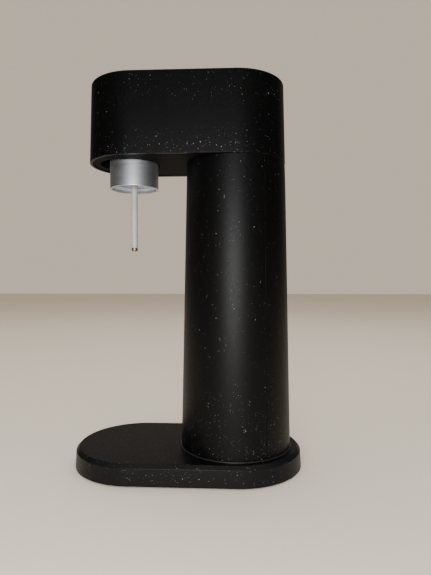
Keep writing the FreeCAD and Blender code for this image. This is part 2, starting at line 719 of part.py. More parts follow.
def lever_pin():
    """Pivot pin of the lever with a clip groove near each end."""
    end = wall_outer + 3.0
    pin = along_x(lever_pin_radius, -end, end, lever_pivot_y, lever_pivot_z)
    grooves = []
    for s in SIDES:
        x0, x1 = pair(s, wall_outer + clip_gap, wall_outer + clip_gap + clip_thickness + 2 * slip_gap)
        grooves.append(cut(along_x(4, x0, x1, lever_pivot_y, lever_pivot_z),
                           along_x(1.9, x0 - 1, x1 + 1, lever_pivot_y, lever_pivot_z)))
    return cut(pin, *grooves)


def pin_clips():
    """Two E-clips in the pin's grooves."""
    clips = []
    for s in SIDES:
        clip_in = wall_outer + clip_gap + slip_gap
        x0, x1 = pair(s, clip_in, clip_in + clip_thickness)
        ring = cut(along_x(4.2, x0, x1, lever_pivot_y, lever_pivot_z),
                   along_x(1.95, x0 - 1, x1 + 1, lever_pivot_y, lever_pivot_z),
                   block(x0 - 1, x1 + 1, lever_pivot_y - 1.7, lever_pivot_y + 1.7,
                         lever_pivot_z - 6, lever_pivot_z))
        clips.append(ring)
    return group(clips)


# ------------------------------------------------------------------ valve block
block_half_x = wall_inner - 0.2
block_half_y = 16.0
block_z = cylinder_top_z - 13.0
washer_height = 1.5
chamber_z = cylinder_top_z + washer_height
chamber_height = 2.5
bore_z = chamber_z + chamber_height
block_top_z = bore_z + 7.0
plunger_radius = 2.9
outlet_z = chamber_z + chamber_height / 2
barb_bore = 1.1
barb_radius = 2.0
barb_root_radius = 3.0
BLOCK_SCREWS = [(column_y + dy, block_z + 7.5) for dy in (-10.0, 10.0)]


def valve_block():
    """Machined block that takes the cylinder's valve and carries the plunger."""
    body = block(-block_half_x, block_half_x, column_y - block_half_y, column_y + block_half_y,
                 block_z, block_top_z)
    body = rounded(body, 1.0, lambda e: abs(e.BoundBox.ZLength - (block_top_z - block_z)) < 0.1)
    holes = [cyl(valve_thread_radius + slip_gap, block_z - 1, chamber_z, 0, column_y),
             cone(valve_thread_radius + 1.5, valve_thread_radius, block_z - 0.01, block_z + 1.5,
                  0, column_y),
             cyl(4.5, chamber_z - 1, bore_z, 0, column_y),
             cyl(plunger_radius + bearing_gap, bore_z - 1, block_top_z + 1, 0, column_y),
             cyl(4.4, bore_z + 2.2, bore_z + 4.2, 0, column_y),
             along_y(barb_bore, column_y - block_half_y - 1, column_y, 0, outlet_z),
             along_y(barb_root_radius + slip_gap, column_y - block_half_y - 1,
                     column_y - block_half_y + 4.2, 0, outlet_z)]
    for y, z in BLOCK_SCREWS:
        for s in SIDES:
            x0, x1 = pair(s, block_half_x + 1, block_half_x - 7.0)
            holes.append(along_x(screw_hole, x0, x1, y, z))
    return cut(body, *holes)


def valve_plunger():
    """Stepped pin that the lever drives down on to the cylinder's own valve pin."""
    rod = cyl(plunger_radius, chamber_z + 1.0, plunger_top_z, 0, column_y)
    tip = cyl(1.7, cylinder_top_z - 0.2, chamber_z + 1.5, 0, column_y)
    disc = cyl(5.2, plunger_top_z - 2.0, plunger_top_z, 0, column_y)
    disc = rounded(disc, 0.5, on_level(plunger_top_z))
    return fuse([rod, tip, disc])


def gas_barb(y_face, direction, z):
    """Hose barb screwed into a face that looks along -Y or +Y (direction -1 or +1)."""
    def span(a, b):
        return sorted((y_face + direction * a, y_face + direction * b))
    root = along_y(barb_root_radius, *span(-4.0, 0.5), 0, z)
    nut = along_y(4.6, *span(0.0, 3.0), 0, z)
    neck = along_y(barb_radius - 0.2, *span(2.5, 13.0), 0, z)
    rings = []
    for a in (4.5, 7.5, 10.5):
        base = Vector(0, y_face + direction * a, z)
        rings.append(Part.makeCone(barb_radius, barb_radius - 0.4, 2.2, base,
                                   Vector(0, direction, 0)))
    bore = along_y(barb_bore, *span(-6.0, 14.0), 0, z)
    return cut(fuse([root, nut, neck] + rings), bore)


# ------------------------------------------------------------------ bottle holder
holder_radius = collar_radius - collar_wall - slip_gap
holder_bottom_z = collar_bottom_z + 3.0
holder_ceiling_z = collar_bottom_z + 25.0
holder_shoulder_z = collar_top_z
neck_top_z = pivot_z - 8.0
insert_radius = bottle_thread_radius + 2.5
inlet_z = pivot_z - 15.0
inlet_face_y = collar_axis_y + 14.0
ear_inner = 13.5
ear_outer = wall_inner - 1.0
ear_radius = 7.0
relief_radius = 6.5
neck_radius = 11.5
plenum_radius = neck_radius - 1.6
relief_top_z = neck_top_z + 11.0
relief_stem_radius = 1.4
vent_radius = 1.1
gas_way_radius = 1.3


def holder_body():
    """White moulding that seals on the bottle, carries the nozzle tube and tilts on two pins."""
    cup = cyl(holder_radius, holder_bottom_z, holder_shoulder_z, 0, collar_axis_y)
    cup = rounded(cup, 1.2, on_level(holder_shoulder_z))
    neck = cyl(neck_radius, holder_shoulder_z - 2, neck_top_z, 0, collar_axis_y)
    inlet = along_y(6.0, collar_axis_y, inlet_face_y, 0, inlet_z)
    stops = block(-ear_outer, ear_outer, collar_axis_y - 5, collar_axis_y + 5,
                  holder_shoulder_z - 2, holder_shoulder_z + 6)
    ears = []
    for s in SIDES:
        x0, x1 = pair(s, ear_inner, ear_outer)
        ears.append(block(x0, x1, collar_axis_y - ear_radius, collar_axis_y + ear_radius,
                          holder_shoulder_z - 2, pivot_z))
        ears.append(along_x(ear_radius, x0, x1, collar_axis_y, pivot_z))
    body = fuse([cup, neck, inlet, stops] + ears)
    mouth = cyl(insert_radius + slip_gap, holder_bottom_z - 1, holder_ceiling_z, 0,
                collar_axis_y)
    body = cut(body, mouth)
    boss = cyl(6.0, holder_ceiling_z - 9, holder_ceiling_z + 1, 0, collar_axis_y)
    webs = [block(-13.0, 13.0, collar_axis_y - 0.8, collar_axis_y + 0.8, holder_ceiling_z - 5,
                  holder_ceiling_z + 1),
            block(-0.8, 0.8, collar_axis_y - 13.0, collar_axis_y + 13.0, holder_ceiling_z - 5,
                  holder_ceiling_z + 1)]
    body = fuse([body, boss] + webs)
    holes = [cyl(tube_radius + bearing_gap, 0, holder_ceiling_z + 8, 0, collar_axis_y),
             cyl(gas_way_radius, holder_ceiling_z, inlet_z, 0, collar_axis_y),
             along_y(gas_way_radius, collar_axis_y, inlet_face_y + 1, 0, inlet_z),
             along_y(barb_root_radius + slip_gap, inlet_face_y - 4.2, inlet_face_y + 1, 0, inlet_z),
             across(tilt_pin_radius + bearing_gap, collar_axis_y, pivot_z),
             cyl(plenum_radius, neck_top_z - 1.5, neck_top_z + 1, 0, collar_axis_y)]
    holes += [cyl(vent_radius, holder_ceiling_z - 1, neck_top_z, s * 5.6, collar_axis_y + 5.6)
              for s in SIDES]
    return cut(body, *holes)


def collar():
    """Aluminium sleeve round the bottle's mouth."""
    sleeve = tube(collar_radius, collar_radius - collar_wall, collar_bottom_z, collar_top_z,
                  0, collar_axis_y)
    sleeve = rounded(sleeve, 0.7, on_level(collar_bottom_z))
    return sleeve


def thread_insert():
    """Ring with the bottle's screw thread, shown as three ridges."""
    z0, z1 = holder_bottom_z + 0.5, holder_bottom_z + 15.5
    root = bottle_thread_radius + thread_depth
    ring = tube(insert_radius, root, z0, z1, 0, collar_axis_y)
    ridges = []
    for n in range(thread_turns):
        z = z0 + 2.5 + thread_pitch * n
        crest = z + thread_depth + 0.1
        end = crest + thread_depth + 0.1
        band = cut(cyl(root + 0.2, z, end, 0, collar_axis_y),
                   cone(root, bottle_thread_radius, z, crest, 0, collar_axis_y),
                   cone(bottle_thread_radius, root, crest, end, 0, collar_axis_y))
        ridges.append(band)
    return fuse([ring] + ridges)


def bottle_seal():
    """Soft ring that the bottle's rim presses on."""
    z1 = holder_ceiling_z
    ring = tube(insert_radius - 0.2, 14.0, z1 - 3.2, z1, 0, collar_axis_y)
    return rounded(ring, 0.6, on_level(z1 - 3.2))


def nozzle_tube():
    """Slim tube that carries the gas down into the water."""
    z0 = tip_z + tip_height
    z1 = holder_ceiling_z + 7.5
    body = cyl(tube_radius, z0, z1, 0, collar_axis_y)
    return cut(body, cyl(1.5, z0 - 1, z1 + 1, 0, collar_axis_y))


def nozzle_tip():
    """Jet pressed into the end of the nozzle tube."""
    body = cyl(tube_radius - 0.2, tip_z, tip_z + tip_height, 0, collar_axis_y)
    body = rounded(body, 0.8, on_level(tip_z))
    plug = cyl(1.45, tip_z + 1, tip_z + tip_height + 5, 0, collar_axis_y)
    return cut(fuse([body, plug]), cyl(0.5, tip_z - 1, tip_z + 20, 0, collar_axis_y))


def tilt_pins():
    """Two shouldered pins that hang the holder between the chassis walls."""
    pins = []
    for s in SIDES:
        x0, x1 = pair(s, ear_inner - 0.5, wall_outer + 0.3)
        shank = along_x(tilt_pin_radius, x0, x1, collar_axis_y, pivot_z)
        x0, x1 = pair(s, wall_outer + 0.2, wall_outer + 2.2)
        pins.append(fuse([shank, along_x(5.0, x0, x1, collar_axis_y, pivot_z)]))
    return group(pins)


def relief_housing():
    """Brass cup of the over-pressure valve, on a flange that closes the holder's vents."""
    cup = cyl(relief_radius, neck_top_z, relief_top_z, 0, collar_axis_y)
    flange = cyl(neck_radius - 0.7, neck_top_z, neck_top_z + 1.5, 0, collar_axis_y)
    return cut(fuse([cup, flange]),
               cyl(relief_radius - 1.5, neck_top_z + 1.5, relief_top_z + 1, 0, collar_axis_y),
               cyl(1.6, neck_top_z - 1, neck_top_z + 2, 0, collar_axis_y))


def relief_cap():
    """Vented cap that holds the relief spring down."""
    top = cyl(relief_radius, relief_top_z, relief_top_z + 1.5, 0, collar_axis_y)
    plug = cyl(relief_radius - 1.6, relief_top_z - 2, relief_top_z + 0.5, 0, collar_axis_y)
    vents = [cyl(0.8, relief_top_z - 3, relief_top_z + 3,
                 *polar(3.4, a, collar_axis_y)) for a in (0.0, 90.0, 180.0, 270.0)]
    return cut(fuse([top, plug]), through(relief_stem_radius + fit_gap, 0, collar_axis_y), *vents)


def relief_poppet():
    """Sealing disc and stem of the relief valve."""
    z0 = neck_top_z + 1.6
    disc = cyl(relief_radius - 1.9, z0, z0 + 2.0, 0, collar_axis_y)
    return fuse([disc, cyl(relief_stem_radius, z0 + 1, relief_top_z + 2.2, 0, collar_axis_y)])


# ------------------------------------------------------------------ hose
hose_radius = 3.2
hose_bore = barb_radius + bearing_gap


def hose_arcs(y0, z0, y1, z1):
    """Two equal arcs that drop from a level line at y0, z0 to a level line at y1, z1."""
    half = math.atan2(z0 - z1, y0 - y1)
    radius = (y0 - y1) / (2.0 * math.sin(2.0 * half))
    s, c = math.sin(half), math.cos(half)
    middle = Vector(0, (y0 + y1) / 2.0, (z0 + z1) / 2.0)
    upper = Vector(0, y0 - radius * s, z0 - radius * (1 - c))
    lower = Vector(0, y1 + radius * s, z1 + radius * (1 - c))
    return [Part.Arc(Vector(0, y0, z0), upper, middle).toShape(),
            Part.Arc(middle, lower, Vector(0, y1, z1)).toShape()]


def gas_hose():
    """Flexible hose from the valve block to the holder, with an easy S-bend for the tilt."""
    y_in, y_out = column_y - block_half_y - 3.3, inlet_face_y + 3.3
    y_a, y_b = y_in - 12.0, y_out + 10.0
    edges = [Part.LineSegment(Vector(0, y_in, outlet_z), Vector(0, y_a, outlet_z)).toShape()]
    edges += hose_arcs(y_a, outlet_z, y_b, inlet_z)
    edges += [Part.LineSegment(Vector(0, y_b, inlet_z), Vector(0, y_out, inlet_z)).toShape()]
    path = Part.Wire(edges)
    start = Vector(0, y_in, outlet_z)
    outer = Part.Wire(Part.makeCircle(hose_radius, start, Vector(0, 1, 0)))
    inner = Part.Wire(Part.makeCircle(hose_bore, start, Vector(0, 1, 0)))
    solid = path.makePipeShell([outer], True, True).cut(path.makePipeShell([inner], True, True))
    print("hose volume", round(solid.Volume, 1), "section x length",
          round(math.pi * (hose_radius ** 2 - hose_bore ** 2) * path.Length, 1))
    return solid


def ferrule(y_face, direction, z):
    """Crimped ring over one end of the hose."""
    y0, y1 = sorted((y_face + direction * 4.5, y_face + direction * 11.5))
    return cut(along_y(hose_radius + 0.9, y0, y1, 0, z),
               along_y(hose_radius + bearing_gap, y0 - 1, y1 + 1, 0, z))


# ------------------------------------------------------------------ gas cylinder
cylinder_wall = 3.0
shoulder_z = cylinder_top_z - 72.0
bottle_neck_z = cylinder_top_z - 34.0
bottle_neck_radius = 13.5
valve_hex_z = cylinder_top_z - 16.0


def revolve_profile(points, y):
    """Solid of revolution about a vertical axis from (radius, z, bulge) points.
    A point with a bulge of (r, z) is reached by an arc through that point."""
    edges = []
    last = Vector(points[0][0], 0, points[0][1])
    for entry in points[1:]:
        here = Vector(entry[0], 0, entry[1])
        if len(entry) == 3:
            via = Vector(entry[2][0], 0, entry[2][1])
            edges.append(Part.Arc(last, via, here).toShape())
        else:
            edges.append(Part.LineSegment(last, here).toShape())
        last = here
    edges.append(Part.LineSegment(last, Vector(points[0][0], 0, points[0][1])).toShape())
    solid = Part.Face(Part.Wire(edges)).revolve(Vector(0, 0, 0), Vector(0, 0, 1), 360)
    solid.translate(Vector(0, y, 0))
    return solid


def gas_cylinder():
    """Pressure cylinder: hollow shell with a dished base, round shoulder and threaded neck."""
    z0, r = cylinder_floor_gap, cylinder_radius
    k = 0.7071
    rise = bottle_neck_z - shoulder_z
    span = r - bottle_neck_radius
    outer = [(0.0, z0 + 4.0), (16.0, z0 + 1.0, (8.5, z0 + 3.2)), (20.0, z0),
             (r, z0 + 10.0, (20.0 + 10.0 * k, z0 + 10.0 * (1 - k))), (r, shoulder_z),
             (bottle_neck_radius, bottle_neck_z,
              (bottle_neck_radius + span * 0.80, shoulder_z + rise * 0.60)),
             (bottle_neck_radius, bottle_neck_z + 6.0), (0.0, bottle_neck_z + 6.0)]
    w, ri = cylinder_wall, r - cylinder_wall
    inner = [(0.0, z0 + 4.0 + w), (18.0, z0 + 2.5 + w),
             (ri, z0 + 11.5 + w, (19.0 + 7.5, z0 + 5.0 + w)), (ri, shoulder_z - 1.0),
             (9.0, bottle_neck_z - 4.0, (9.0 + (ri - 9.0) * 0.78, shoulder_z + rise * 0.50)),
             (9.0, bottle_neck_z - 2.0), (0.0, bottle_neck_z - 2.0)]
    body = cut(revolve_profile(outer, column_y), revolve_profile(inner, column_y))
    return cut(body, cyl(8.0 + slip_gap, bottle_neck_z - 6, bottle_neck_z + 8, 0, column_y))


def cylinder_valve():
    """Brass valve: a plug in the neck, a flatted body and the outlet thread."""
    plug = cyl(8.0, bottle_neck_z - 4, bottle_neck_z + 7, 0, column_y)
    body = cyl(13.0, bottle_neck_z + 6.0, valve_hex_z, 0, column_y)
    body = rounded(body, 0.8, lambda e: on_level(valve_hex_z)(e)
                   or on_level(bottle_neck_z + 6.0)(e))
    z0, z1 = bottle_neck_z + 7.2, valve_hex_z - 1.2
    flats = [block(x0, x1, column_y - 20, column_y + 20, z0, z1)
             for x0, x1 in ((11.0, 20.0), (-20.0, -11.0))]
    flats.append(block(-20.0, 20.0, column_y + 12.0, column_y + 20.0, z0, z1))
    thread = cyl(valve_thread_radius, valve_hex_z - 1, cylinder_top_z, 0, column_y)
    ridges = []
    for n in range(6):
        z = valve_hex_z + 2.6 + 1.9 * n
        ridges.append(cut(cyl(valve_thread_radius + 1, z - 0.45, z + 0.45, 0, column_y),
                          cyl(valve_thread_radius - 0.7, z - 1, z + 1, 0, column_y)))
    body = cut(fuse([plug, cut(body, *flats), thread]), *ridges)
    return cut(body, cyl(2.3, cylinder_top_z - 6.0, cylinder_top_z + 1, 0, column_y),
               cyl(4.0, bottle_neck_z - 5.0, cylinder_top_z - 6.0, 0, column_y))


def valve_pin():
    """Cylinder's own sprung pin: pressing it lets the gas out."""
    shoulder = cylinder_top_z - 6.6
    stem = cyl(1.2, shoulder - 14.0, cylinder_top_z - 0.5, 0, column_y)
    seat = cyl(3.7, shoulder - 3.0, shoulder, 0, column_y)
    return fuse([stem, seat])


def valve_gland():
    """Screwed plug that holds the pin's spring in the valve."""
    return tube(3.95, 1.35, bottle_neck_z - 4.0, bottle_neck_z + 1.0, 0, column_y)


def burst_plug():
    """Hexagonal safety plug in the side of the valve."""
    plug = along_y(4.5, column_y + 12.0, column_y + 15.0, 0, bottle_neck_z + 12.0)
    return fuse([plug, along_y(2.4, column_y + 8.0, column_y + 12.5, 0, bottle_neck_z + 12.0)])


# ------------------------------------------------------------------ assembly
def build():
    """Makes every piece."""
    keep("base_cover", base_cover())
    keep("base_plate", base_plate())
    keep("rubber_feet", rubber_feet())
    keep("base_screws", group(screw(x, y, base_plate_z + head_sink_depth, 12.0, low_head_height)
                              for x, y in BASE_POSTS))
    keep("base_stiffener", base_stiffener())
    keep("frame_screws", group(screw(x, y, base_plate_top_z + fit_gap, 6.0, low_head_height)
                               for x, y in FRAME_SCREWS + PLATE_POSTS))
    keep("seat_ring", seat_ring())
    keep("column_shell", column_shell())
    keep("column_screws", group(screw(x, y, deck_under_z, deck_thickness + seat_ring_height + 2.5)
                                for x, y in COLUMN_SCREWS))
    keep("column_frame", column_frame())
    keep("shell_magnets", magnets(magnet_face_y - magnet_height))
    keep("rear_cover", rear_cover())
    keep("cover_magnets", magnets(magnet_face_y + fit_gap))
    keep("head_shell", head_shell())
    keep("head_underside", head_underside())
    keep("underside_screws", group(screw(x, y, underside_z + 1.0, 10.0, 0.9)
                                   for x, y in UNDERSIDE_POSTS))
    keep("head_chassis", head_chassis())
    keep("chassis_screws", group(screw(x, y, chassis_floor, frame_flange + 4.0, up=False)
                                 for x, y in FRAME_SCREWS))
    keep("shell_screws", group(screw(x, y, frame_top_z, 14.0) for x, y in SHELL_POSTS))
    keep("button_guide", button_guide())
    keep("guide_screws", group(screw(x, y, bridge_top_z + 3.0, 5.0, up=False)
                               for x, y in GUIDE_SCREWS))
    keep("push_button", push_button())
    spring_top = button_top_z - 3.0
    keep("button_springs", group(coil_spring(s * spring_x, button_y, bridge_top_z, spring_top,
                                             3.3, 0.55, 7) for s in SIDES))
    keep("lever", lever())
    keep("lever_pad", lever_pad())
    keep("lever_pin", lever_pin())
    keep("lever_bushes", lever_bushes())
    keep("pin_clips", pin_clips())
    keep("valve_block", valve_block())
    keep("block_screws", group(side_screw(s * wall_outer, y, z, 9.0)
                               for y, z in BLOCK_SCREWS for s in SIDES))
    keep("cylinder_washer", tube(valve_thread_radius - 0.1, 4.0, cylinder_top_z, chamber_z,
                                 0, column_y))
    keep("valve_plunger", valve_plunger())
    keep("plunger_seal", o_ring(0, column_y, bore_z + 3.2, plunger_radius + 0.75, 0.72))
    keep("plunger_spring", coil_spring(0, column_y, block_top_z, plunger_top_z - 2.0,
                                       4.0, 0.4, 2.5))
    keep("outlet_barb", gas_barb(column_y - block_half_y, -1, outlet_z))
    keep("inlet_barb", gas_barb(inlet_face_y, 1, inlet_z))
    keep("gas_hose", gas_hose())
    keep("outlet_ferrule", ferrule(column_y - block_half_y, -1, outlet_z))
    keep("inlet_ferrule", ferrule(inlet_face_y, 1, inlet_z))
    keep("holder_body", holder_body())
    keep("collar", collar())
    keep("thread_insert", thread_insert())
    keep("bottle_seal", bottle_seal())
    keep("nozzle_tube", nozzle_tube())
    keep("nozzle_tip", nozzle_tip())
    keep("tilt_pins", tilt_pins())
    keep("relief_housing", relief_housing())
    keep("relief_cap", relief_cap())
    keep("relief_poppet", relief_poppet())
    keep("relief_spring", coil_spring(0, collar_axis_y, neck_top_z + 3.6, relief_top_z - 2.0,
                                      3.0, 0.4, 3))
    keep("gas_cylinder", gas_cylinder())
    keep("cylinder_valve", cut(cylinder_valve(), along_y(2.5, column_y + 7.0, column_y + 20.0, 0,
                                                         bottle_neck_z + 12.0)))
    keep("valve_pin", valve_pin())
    keep("pin_spring", coil_spring(0, column_y, bottle_neck_z + 1.0, cylinder_top_z - 9.6,
                                   2.6, 0.35, 6))
    keep("valve_gland", valve_gland())
    keep("burst_plug", burst_plug())


def main():
    """Builds, checks and writes one STEP file per piece."""
    os.makedirs("parts", exist_ok=True)
    build()
    for name, shape in PARTS.items():
        if not shape.Solids or not shape.isValid():
            print("PROBLEM:", name, "solids", len(shape.Solids), "valid", shape.isValid())
        shape.exportStep("parts/" + name + ".step")
    print("nodes", len(PARTS), "solids", sum(len(s.Solids) for s in PARTS.values()))


main()
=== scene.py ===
import json
import math

import bmesh
import bpy
import numpy as np
from bpy.props import FloatProperty, FloatVectorProperty, PointerProperty
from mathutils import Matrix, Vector


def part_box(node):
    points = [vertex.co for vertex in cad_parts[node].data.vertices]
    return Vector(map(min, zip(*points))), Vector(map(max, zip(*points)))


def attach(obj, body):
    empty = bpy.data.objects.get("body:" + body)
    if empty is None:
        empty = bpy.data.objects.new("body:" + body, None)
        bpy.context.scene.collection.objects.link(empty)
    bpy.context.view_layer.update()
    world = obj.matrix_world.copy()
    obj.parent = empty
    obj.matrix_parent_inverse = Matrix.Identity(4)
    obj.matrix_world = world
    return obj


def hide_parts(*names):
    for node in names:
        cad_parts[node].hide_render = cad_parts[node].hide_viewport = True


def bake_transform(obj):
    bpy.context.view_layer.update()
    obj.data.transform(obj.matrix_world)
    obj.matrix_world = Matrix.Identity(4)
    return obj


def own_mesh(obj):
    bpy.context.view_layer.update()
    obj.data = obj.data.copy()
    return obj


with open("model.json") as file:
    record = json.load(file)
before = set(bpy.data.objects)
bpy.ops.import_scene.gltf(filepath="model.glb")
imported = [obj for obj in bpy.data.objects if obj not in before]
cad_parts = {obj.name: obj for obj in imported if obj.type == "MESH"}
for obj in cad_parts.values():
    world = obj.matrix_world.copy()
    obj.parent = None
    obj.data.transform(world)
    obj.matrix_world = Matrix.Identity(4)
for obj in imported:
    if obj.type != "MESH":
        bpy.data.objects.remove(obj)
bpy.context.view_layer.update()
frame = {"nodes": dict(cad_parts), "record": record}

bl_info = {
    "name": "Soda carbonator",
    "version": (1, 0, 0),
    "blender": (4, 5, 0),
    "location": "View3D > Sidebar > Carbonator",
    "description": "Dresses a manual kitchen soda carbonator and sets it on a studio floor",
    "category": "Object",
}

MM = 0.001
FULL_TURN = 2.0 * math.pi
AROUND = 192          # points round a round piece
END_POINTS = 72       # points round one end of an obround piece
SIDE_POINTS = 24      # points along one straight side of an obround piece
LEVEL_POINTS = 8      # points along a level end of the hose


# ---------------------------------------------------------------- places taken from the frame
def middle(node):
    """Middle of a CAD node's box."""
    return (low(node) + high(node)) / 2.0


def low(node):
    """Lowest corner of a CAD node's box."""
    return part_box(node)[0]


def high(node):
    """Highest corner of a CAD node's box."""
    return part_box(node)[1]


COLUMN_Y = middle("seat_ring").y
COLLAR_Y = middle("collar").y
HEAD_HALF = high("head_shell").x
HEAD_LOW = low("head_shell").z
BUTTON_Y = low("head_shell").y + HEAD_HALF
COLUMN_LOW = low("column_shell").z
COLUMN_TOP = high("column_shell").z
COLUMN_BASE_RADIUS = high("column_shell").x
SEAT_BORE = COLUMN_BASE_RADIUS - 11 * MM     # inner radius of the seat ring and the flange on it
COVER_SPAN = math.radians(58.0)      # half of the arc that the rear cover spans
INNER_EDGE = 0.3 * MM                # softness of the edges of inner pieces
SMALLEST_EDGE = 0.05 * MM
MAGNET_RADIUS = 3.5 * MM
BUTTON_RADIUS = high("push_button").x
FOOT_HALF = high("base_cover").x
FOOT_TOP = high("base_cover").z


def spring_place(node):
    """Distance of a spring's axis from the middle plane, its y, and its outer radius."""
    bottom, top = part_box(node)
    outer = (top.y - bottom.y) / 2.0
    return top.x - outer, (top.y + bottom.y) / 2.0, outer


def magnet_levels():
    """Heights of the three pairs of magnets: the middle and both ends of their node's box."""
    bottom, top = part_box("shell_magnets")
    return bottom.z + MAGNET_RADIUS, (bottom.z + top.z) / 2.0, top.z - MAGNET_RADIUS


# ---------------------------------------------------------------- settings
LENGTH = {"min": 0.0, "unit": "LENGTH"}
COLOUR = {"subtype": "COLOR", "size": 3, "min": 0.0, "max": 1.0}
SHARE = {"subtype": "FACTOR", "min": 0.0, "max": 1.0}
POWER = {"subtype": "POWER", "min": 0.0, "unit": "POWER"}


class CarbonatorSizes(bpy.types.PropertyGroup):
    """Small sizes of the dressing."""
    edge: FloatProperty(
        name="Edge", description="Softness of a moulded edge", default=0.5 * MM, **LENGTH)
    seam_edge: FloatProperty(
        name="Seam edge", description="Softness of the edges where the column's halves meet",
        default=0.15 * MM, **LENGTH)
    foot_chamfer: FloatProperty(
        name="Foot chamfer", description="Height of the sloping rim of the foot",
        default=3.6 * MM, **LENGTH)
    well: FloatProperty(
        name="Well", description="Radius of the opening in the deck under the column",
        default=48.0 * MM, **LENGTH)
    cover_gap: FloatProperty(
        name="Cover gap", description="Gap beside the rear cover", default=0.4 * MM, **LENGTH)
    notch: FloatProperty(
        name="Finger notch", description="Radius of the notch at the top of the rear cover",
        default=11.0 * MM, **LENGTH)
    wall: FloatProperty(
        name="Wall", description="Thickness of the moulded covers", default=3.0 * MM, **LENGTH)
    dish: FloatProperty(
        name="Dish", description="Depth of the hollow in the push button",
        default=1.0 * MM, **LENGTH)
    thread_pitch: FloatProperty(
        name="Thread pitch", description="Rise of the bottle thread in one turn",
        default=4.2 * MM, min=0.1 * MM, unit="LENGTH")
    thread_depth: FloatProperty(
        name="Thread depth", description="Depth of the bottle thread in the collar",
        default=1.2 * MM, **LENGTH)


class CarbonatorFinish(bpy.types.PropertyGroup):
    """Colours and surface qualities."""
    composite: FloatVectorProperty(
        name="Composite", description="Ground colour of the flecked black moulding",
        default=(0.0010, 0.00105, 0.0013), **COLOUR)
    foot: FloatVectorProperty(
        name="Foot side", description="Ground colour round the side of the foot",
        default=(0.0042, 0.0043, 0.0051), **COLOUR)
    fleck: FloatVectorProperty(
        name="Fleck", description="Colour of the pale flecks in the moulding",
        default=(0.34, 0.345, 0.365), **COLOUR)
    fleck_share: FloatProperty(
        name="Flecks", description="Share of the fleck places that hold a fleck where they are "
        "thinly scattered", default=0.06, **SHARE)
    fleck_gather: FloatProperty(
        name="Gathered flecks", description="Added share near the foot of the column",
        default=0.24, **SHARE)
    collar: FloatVectorProperty(
        name="Collar", description="Colour of the anodised collar",
        default=(0.49, 0.51, 0.55), **COLOUR)
    holder: FloatVectorProperty(
        name="Holder", description="Colour of the moulding inside the collar",
        default=(0.52, 0.58, 0.70), **COLOUR)
    tube: FloatVectorProperty(
        name="Tube", description="Colour of the nozzle tube",
        default=(0.44, 0.445, 0.435), **COLOUR)


class CarbonatorStage(bpy.types.PropertyGroup):
    """Floor, light and camera."""
    floor: FloatVectorProperty(
        name="Floor", description="Colour of the floor", default=(0.78, 0.72, 0.63), **COLOUR)
    backdrop: FloatVectorProperty(
        name="Backdrop", description="Colour of the surroundings", default=(0.62, 0.54, 0.44),
        **COLOUR)
    fill: FloatProperty(
        name="Fill", description="Strength of the surroundings as glossy faces show them",
        default=0.04, min=0.0, max=2.0)
    back: FloatProperty(
        name="Back", description="Strength of the surroundings behind the object, as glossy "
        "faces show them", default=0.55, min=0.0, max=2.0)
    key: FloatProperty(
        name="Key light", description="Power of the broad light beside the camera",
        default=4.4, **POWER)
    top: FloatProperty(
        name="Top light", description="Power of the broad light overhead", default=30.0, **POWER)
    lens: FloatProperty(
        name="Lens", description="Focal length on a 36 mm high frame", default=29.11,
        min=5.0, unit="CAMERA")


# ---------------------------------------------------------------- shapes as arrays
def soft_outline(corners, radii, steps=6):
    """Closed outline with rounded corners.  At each corner the arc's centre lies on the line that
    halves the corner, radius / sin(half the corner) away, and the arc runs between the two points
    where that circle touches the sides.  A point just outside each end of the arc keeps the
    neighbouring side flat in shading."""
    corners = np.asarray(corners, float)
    pieces = []
    for p, before, after, radius in zip(corners, np.roll(corners, 1, 0),
                                        np.roll(corners, -1, 0), radii):
        if radius <= 0.0:
            pieces.append(p[None, :])
            continue
        a = (before - p) / np.linalg.norm(before - p)
        b = (after - p) / np.linalg.norm(after - p)
        half = math.acos(float(np.clip(a @ b, -1.0, 1.0))) / 2.0
        reach = radius / math.tan(half)
        centre = p + (a + b) / np.linalg.norm(a + b) * radius / math.sin(half)
        first, last = p + a * reach - centre, p + b * reach - centre
        start = math.atan2(first[1], first[0])
        turn = (math.atan2(last[1], last[0]) - start + math.pi) % FULL_TURN - math.pi
        angle = start + turn * np.linspace(0.0, 1.0, steps + 1)
        arc = centre + radius * np.stack([np.cos(angle), np.sin(angle)], 1)
        pieces += [(p + a * reach * 1.2)[None, :], arc, (p + b * reach * 1.2)[None, :]]
    return np.concatenate(pieces)


def swept(section, angles, axis_y=COLUMN_Y):
    """Rows of a section carried round the vertical axis at y = axis_y: (radius, z) goes to
    (radius sin a, axis_y - radius cos a, z) at each angle a from the front."""
    a = np.asarray(angles, float)[:, None]
    radius, z = section[None, :, 0], section[None, :, 1]
    return np.stack([radius * np.sin(a), axis_y - radius * np.cos(a), z + 0.0 * a], -1)


def turned(profile, axis_y, around=AROUND):
    """Grid of a turned piece, one row for each point of the profile, swept through a full turn."""
    angles = np.linspace(0.0, FULL_TURN, around, endpoint=False)
    return swept(profile, angles, axis_y).transpose(1, 0, 2)


def column_radius(z):
    """Outer radius of the tapered column at height z."""
    share = (z - COLUMN_LOW) / (HEAD_LOW - COLUMN_LOW)
    return COLUMN_BASE_RADIUS + (HEAD_HALF - COLUMN_BASE_RADIUS) * share


def wall_section(bottom, top, inside, edge, outside=0.0, inset=0.0, levels=14):
    """Section of a wall that follows the column's taper.  Its sides lie outside and inside the
    column's own surface by the given depths, its corners are rounded by edge, and inset draws all
    of its outline in."""
    z = np.linspace(bottom + inset, top - inset, levels)
    outer = np.stack([column_radius(z) - outside - inset, z], 1)
    inner = np.stack([column_radius(z) - inside + inset, z], 1)[::-1]
    radii = np.zeros(2 * levels)
    radii[[0, levels - 1, levels, -1]] = max(edge - inset, SMALLEST_EDGE)
    return soft_outline(np.concatenate([outer, inner]), radii, 4)


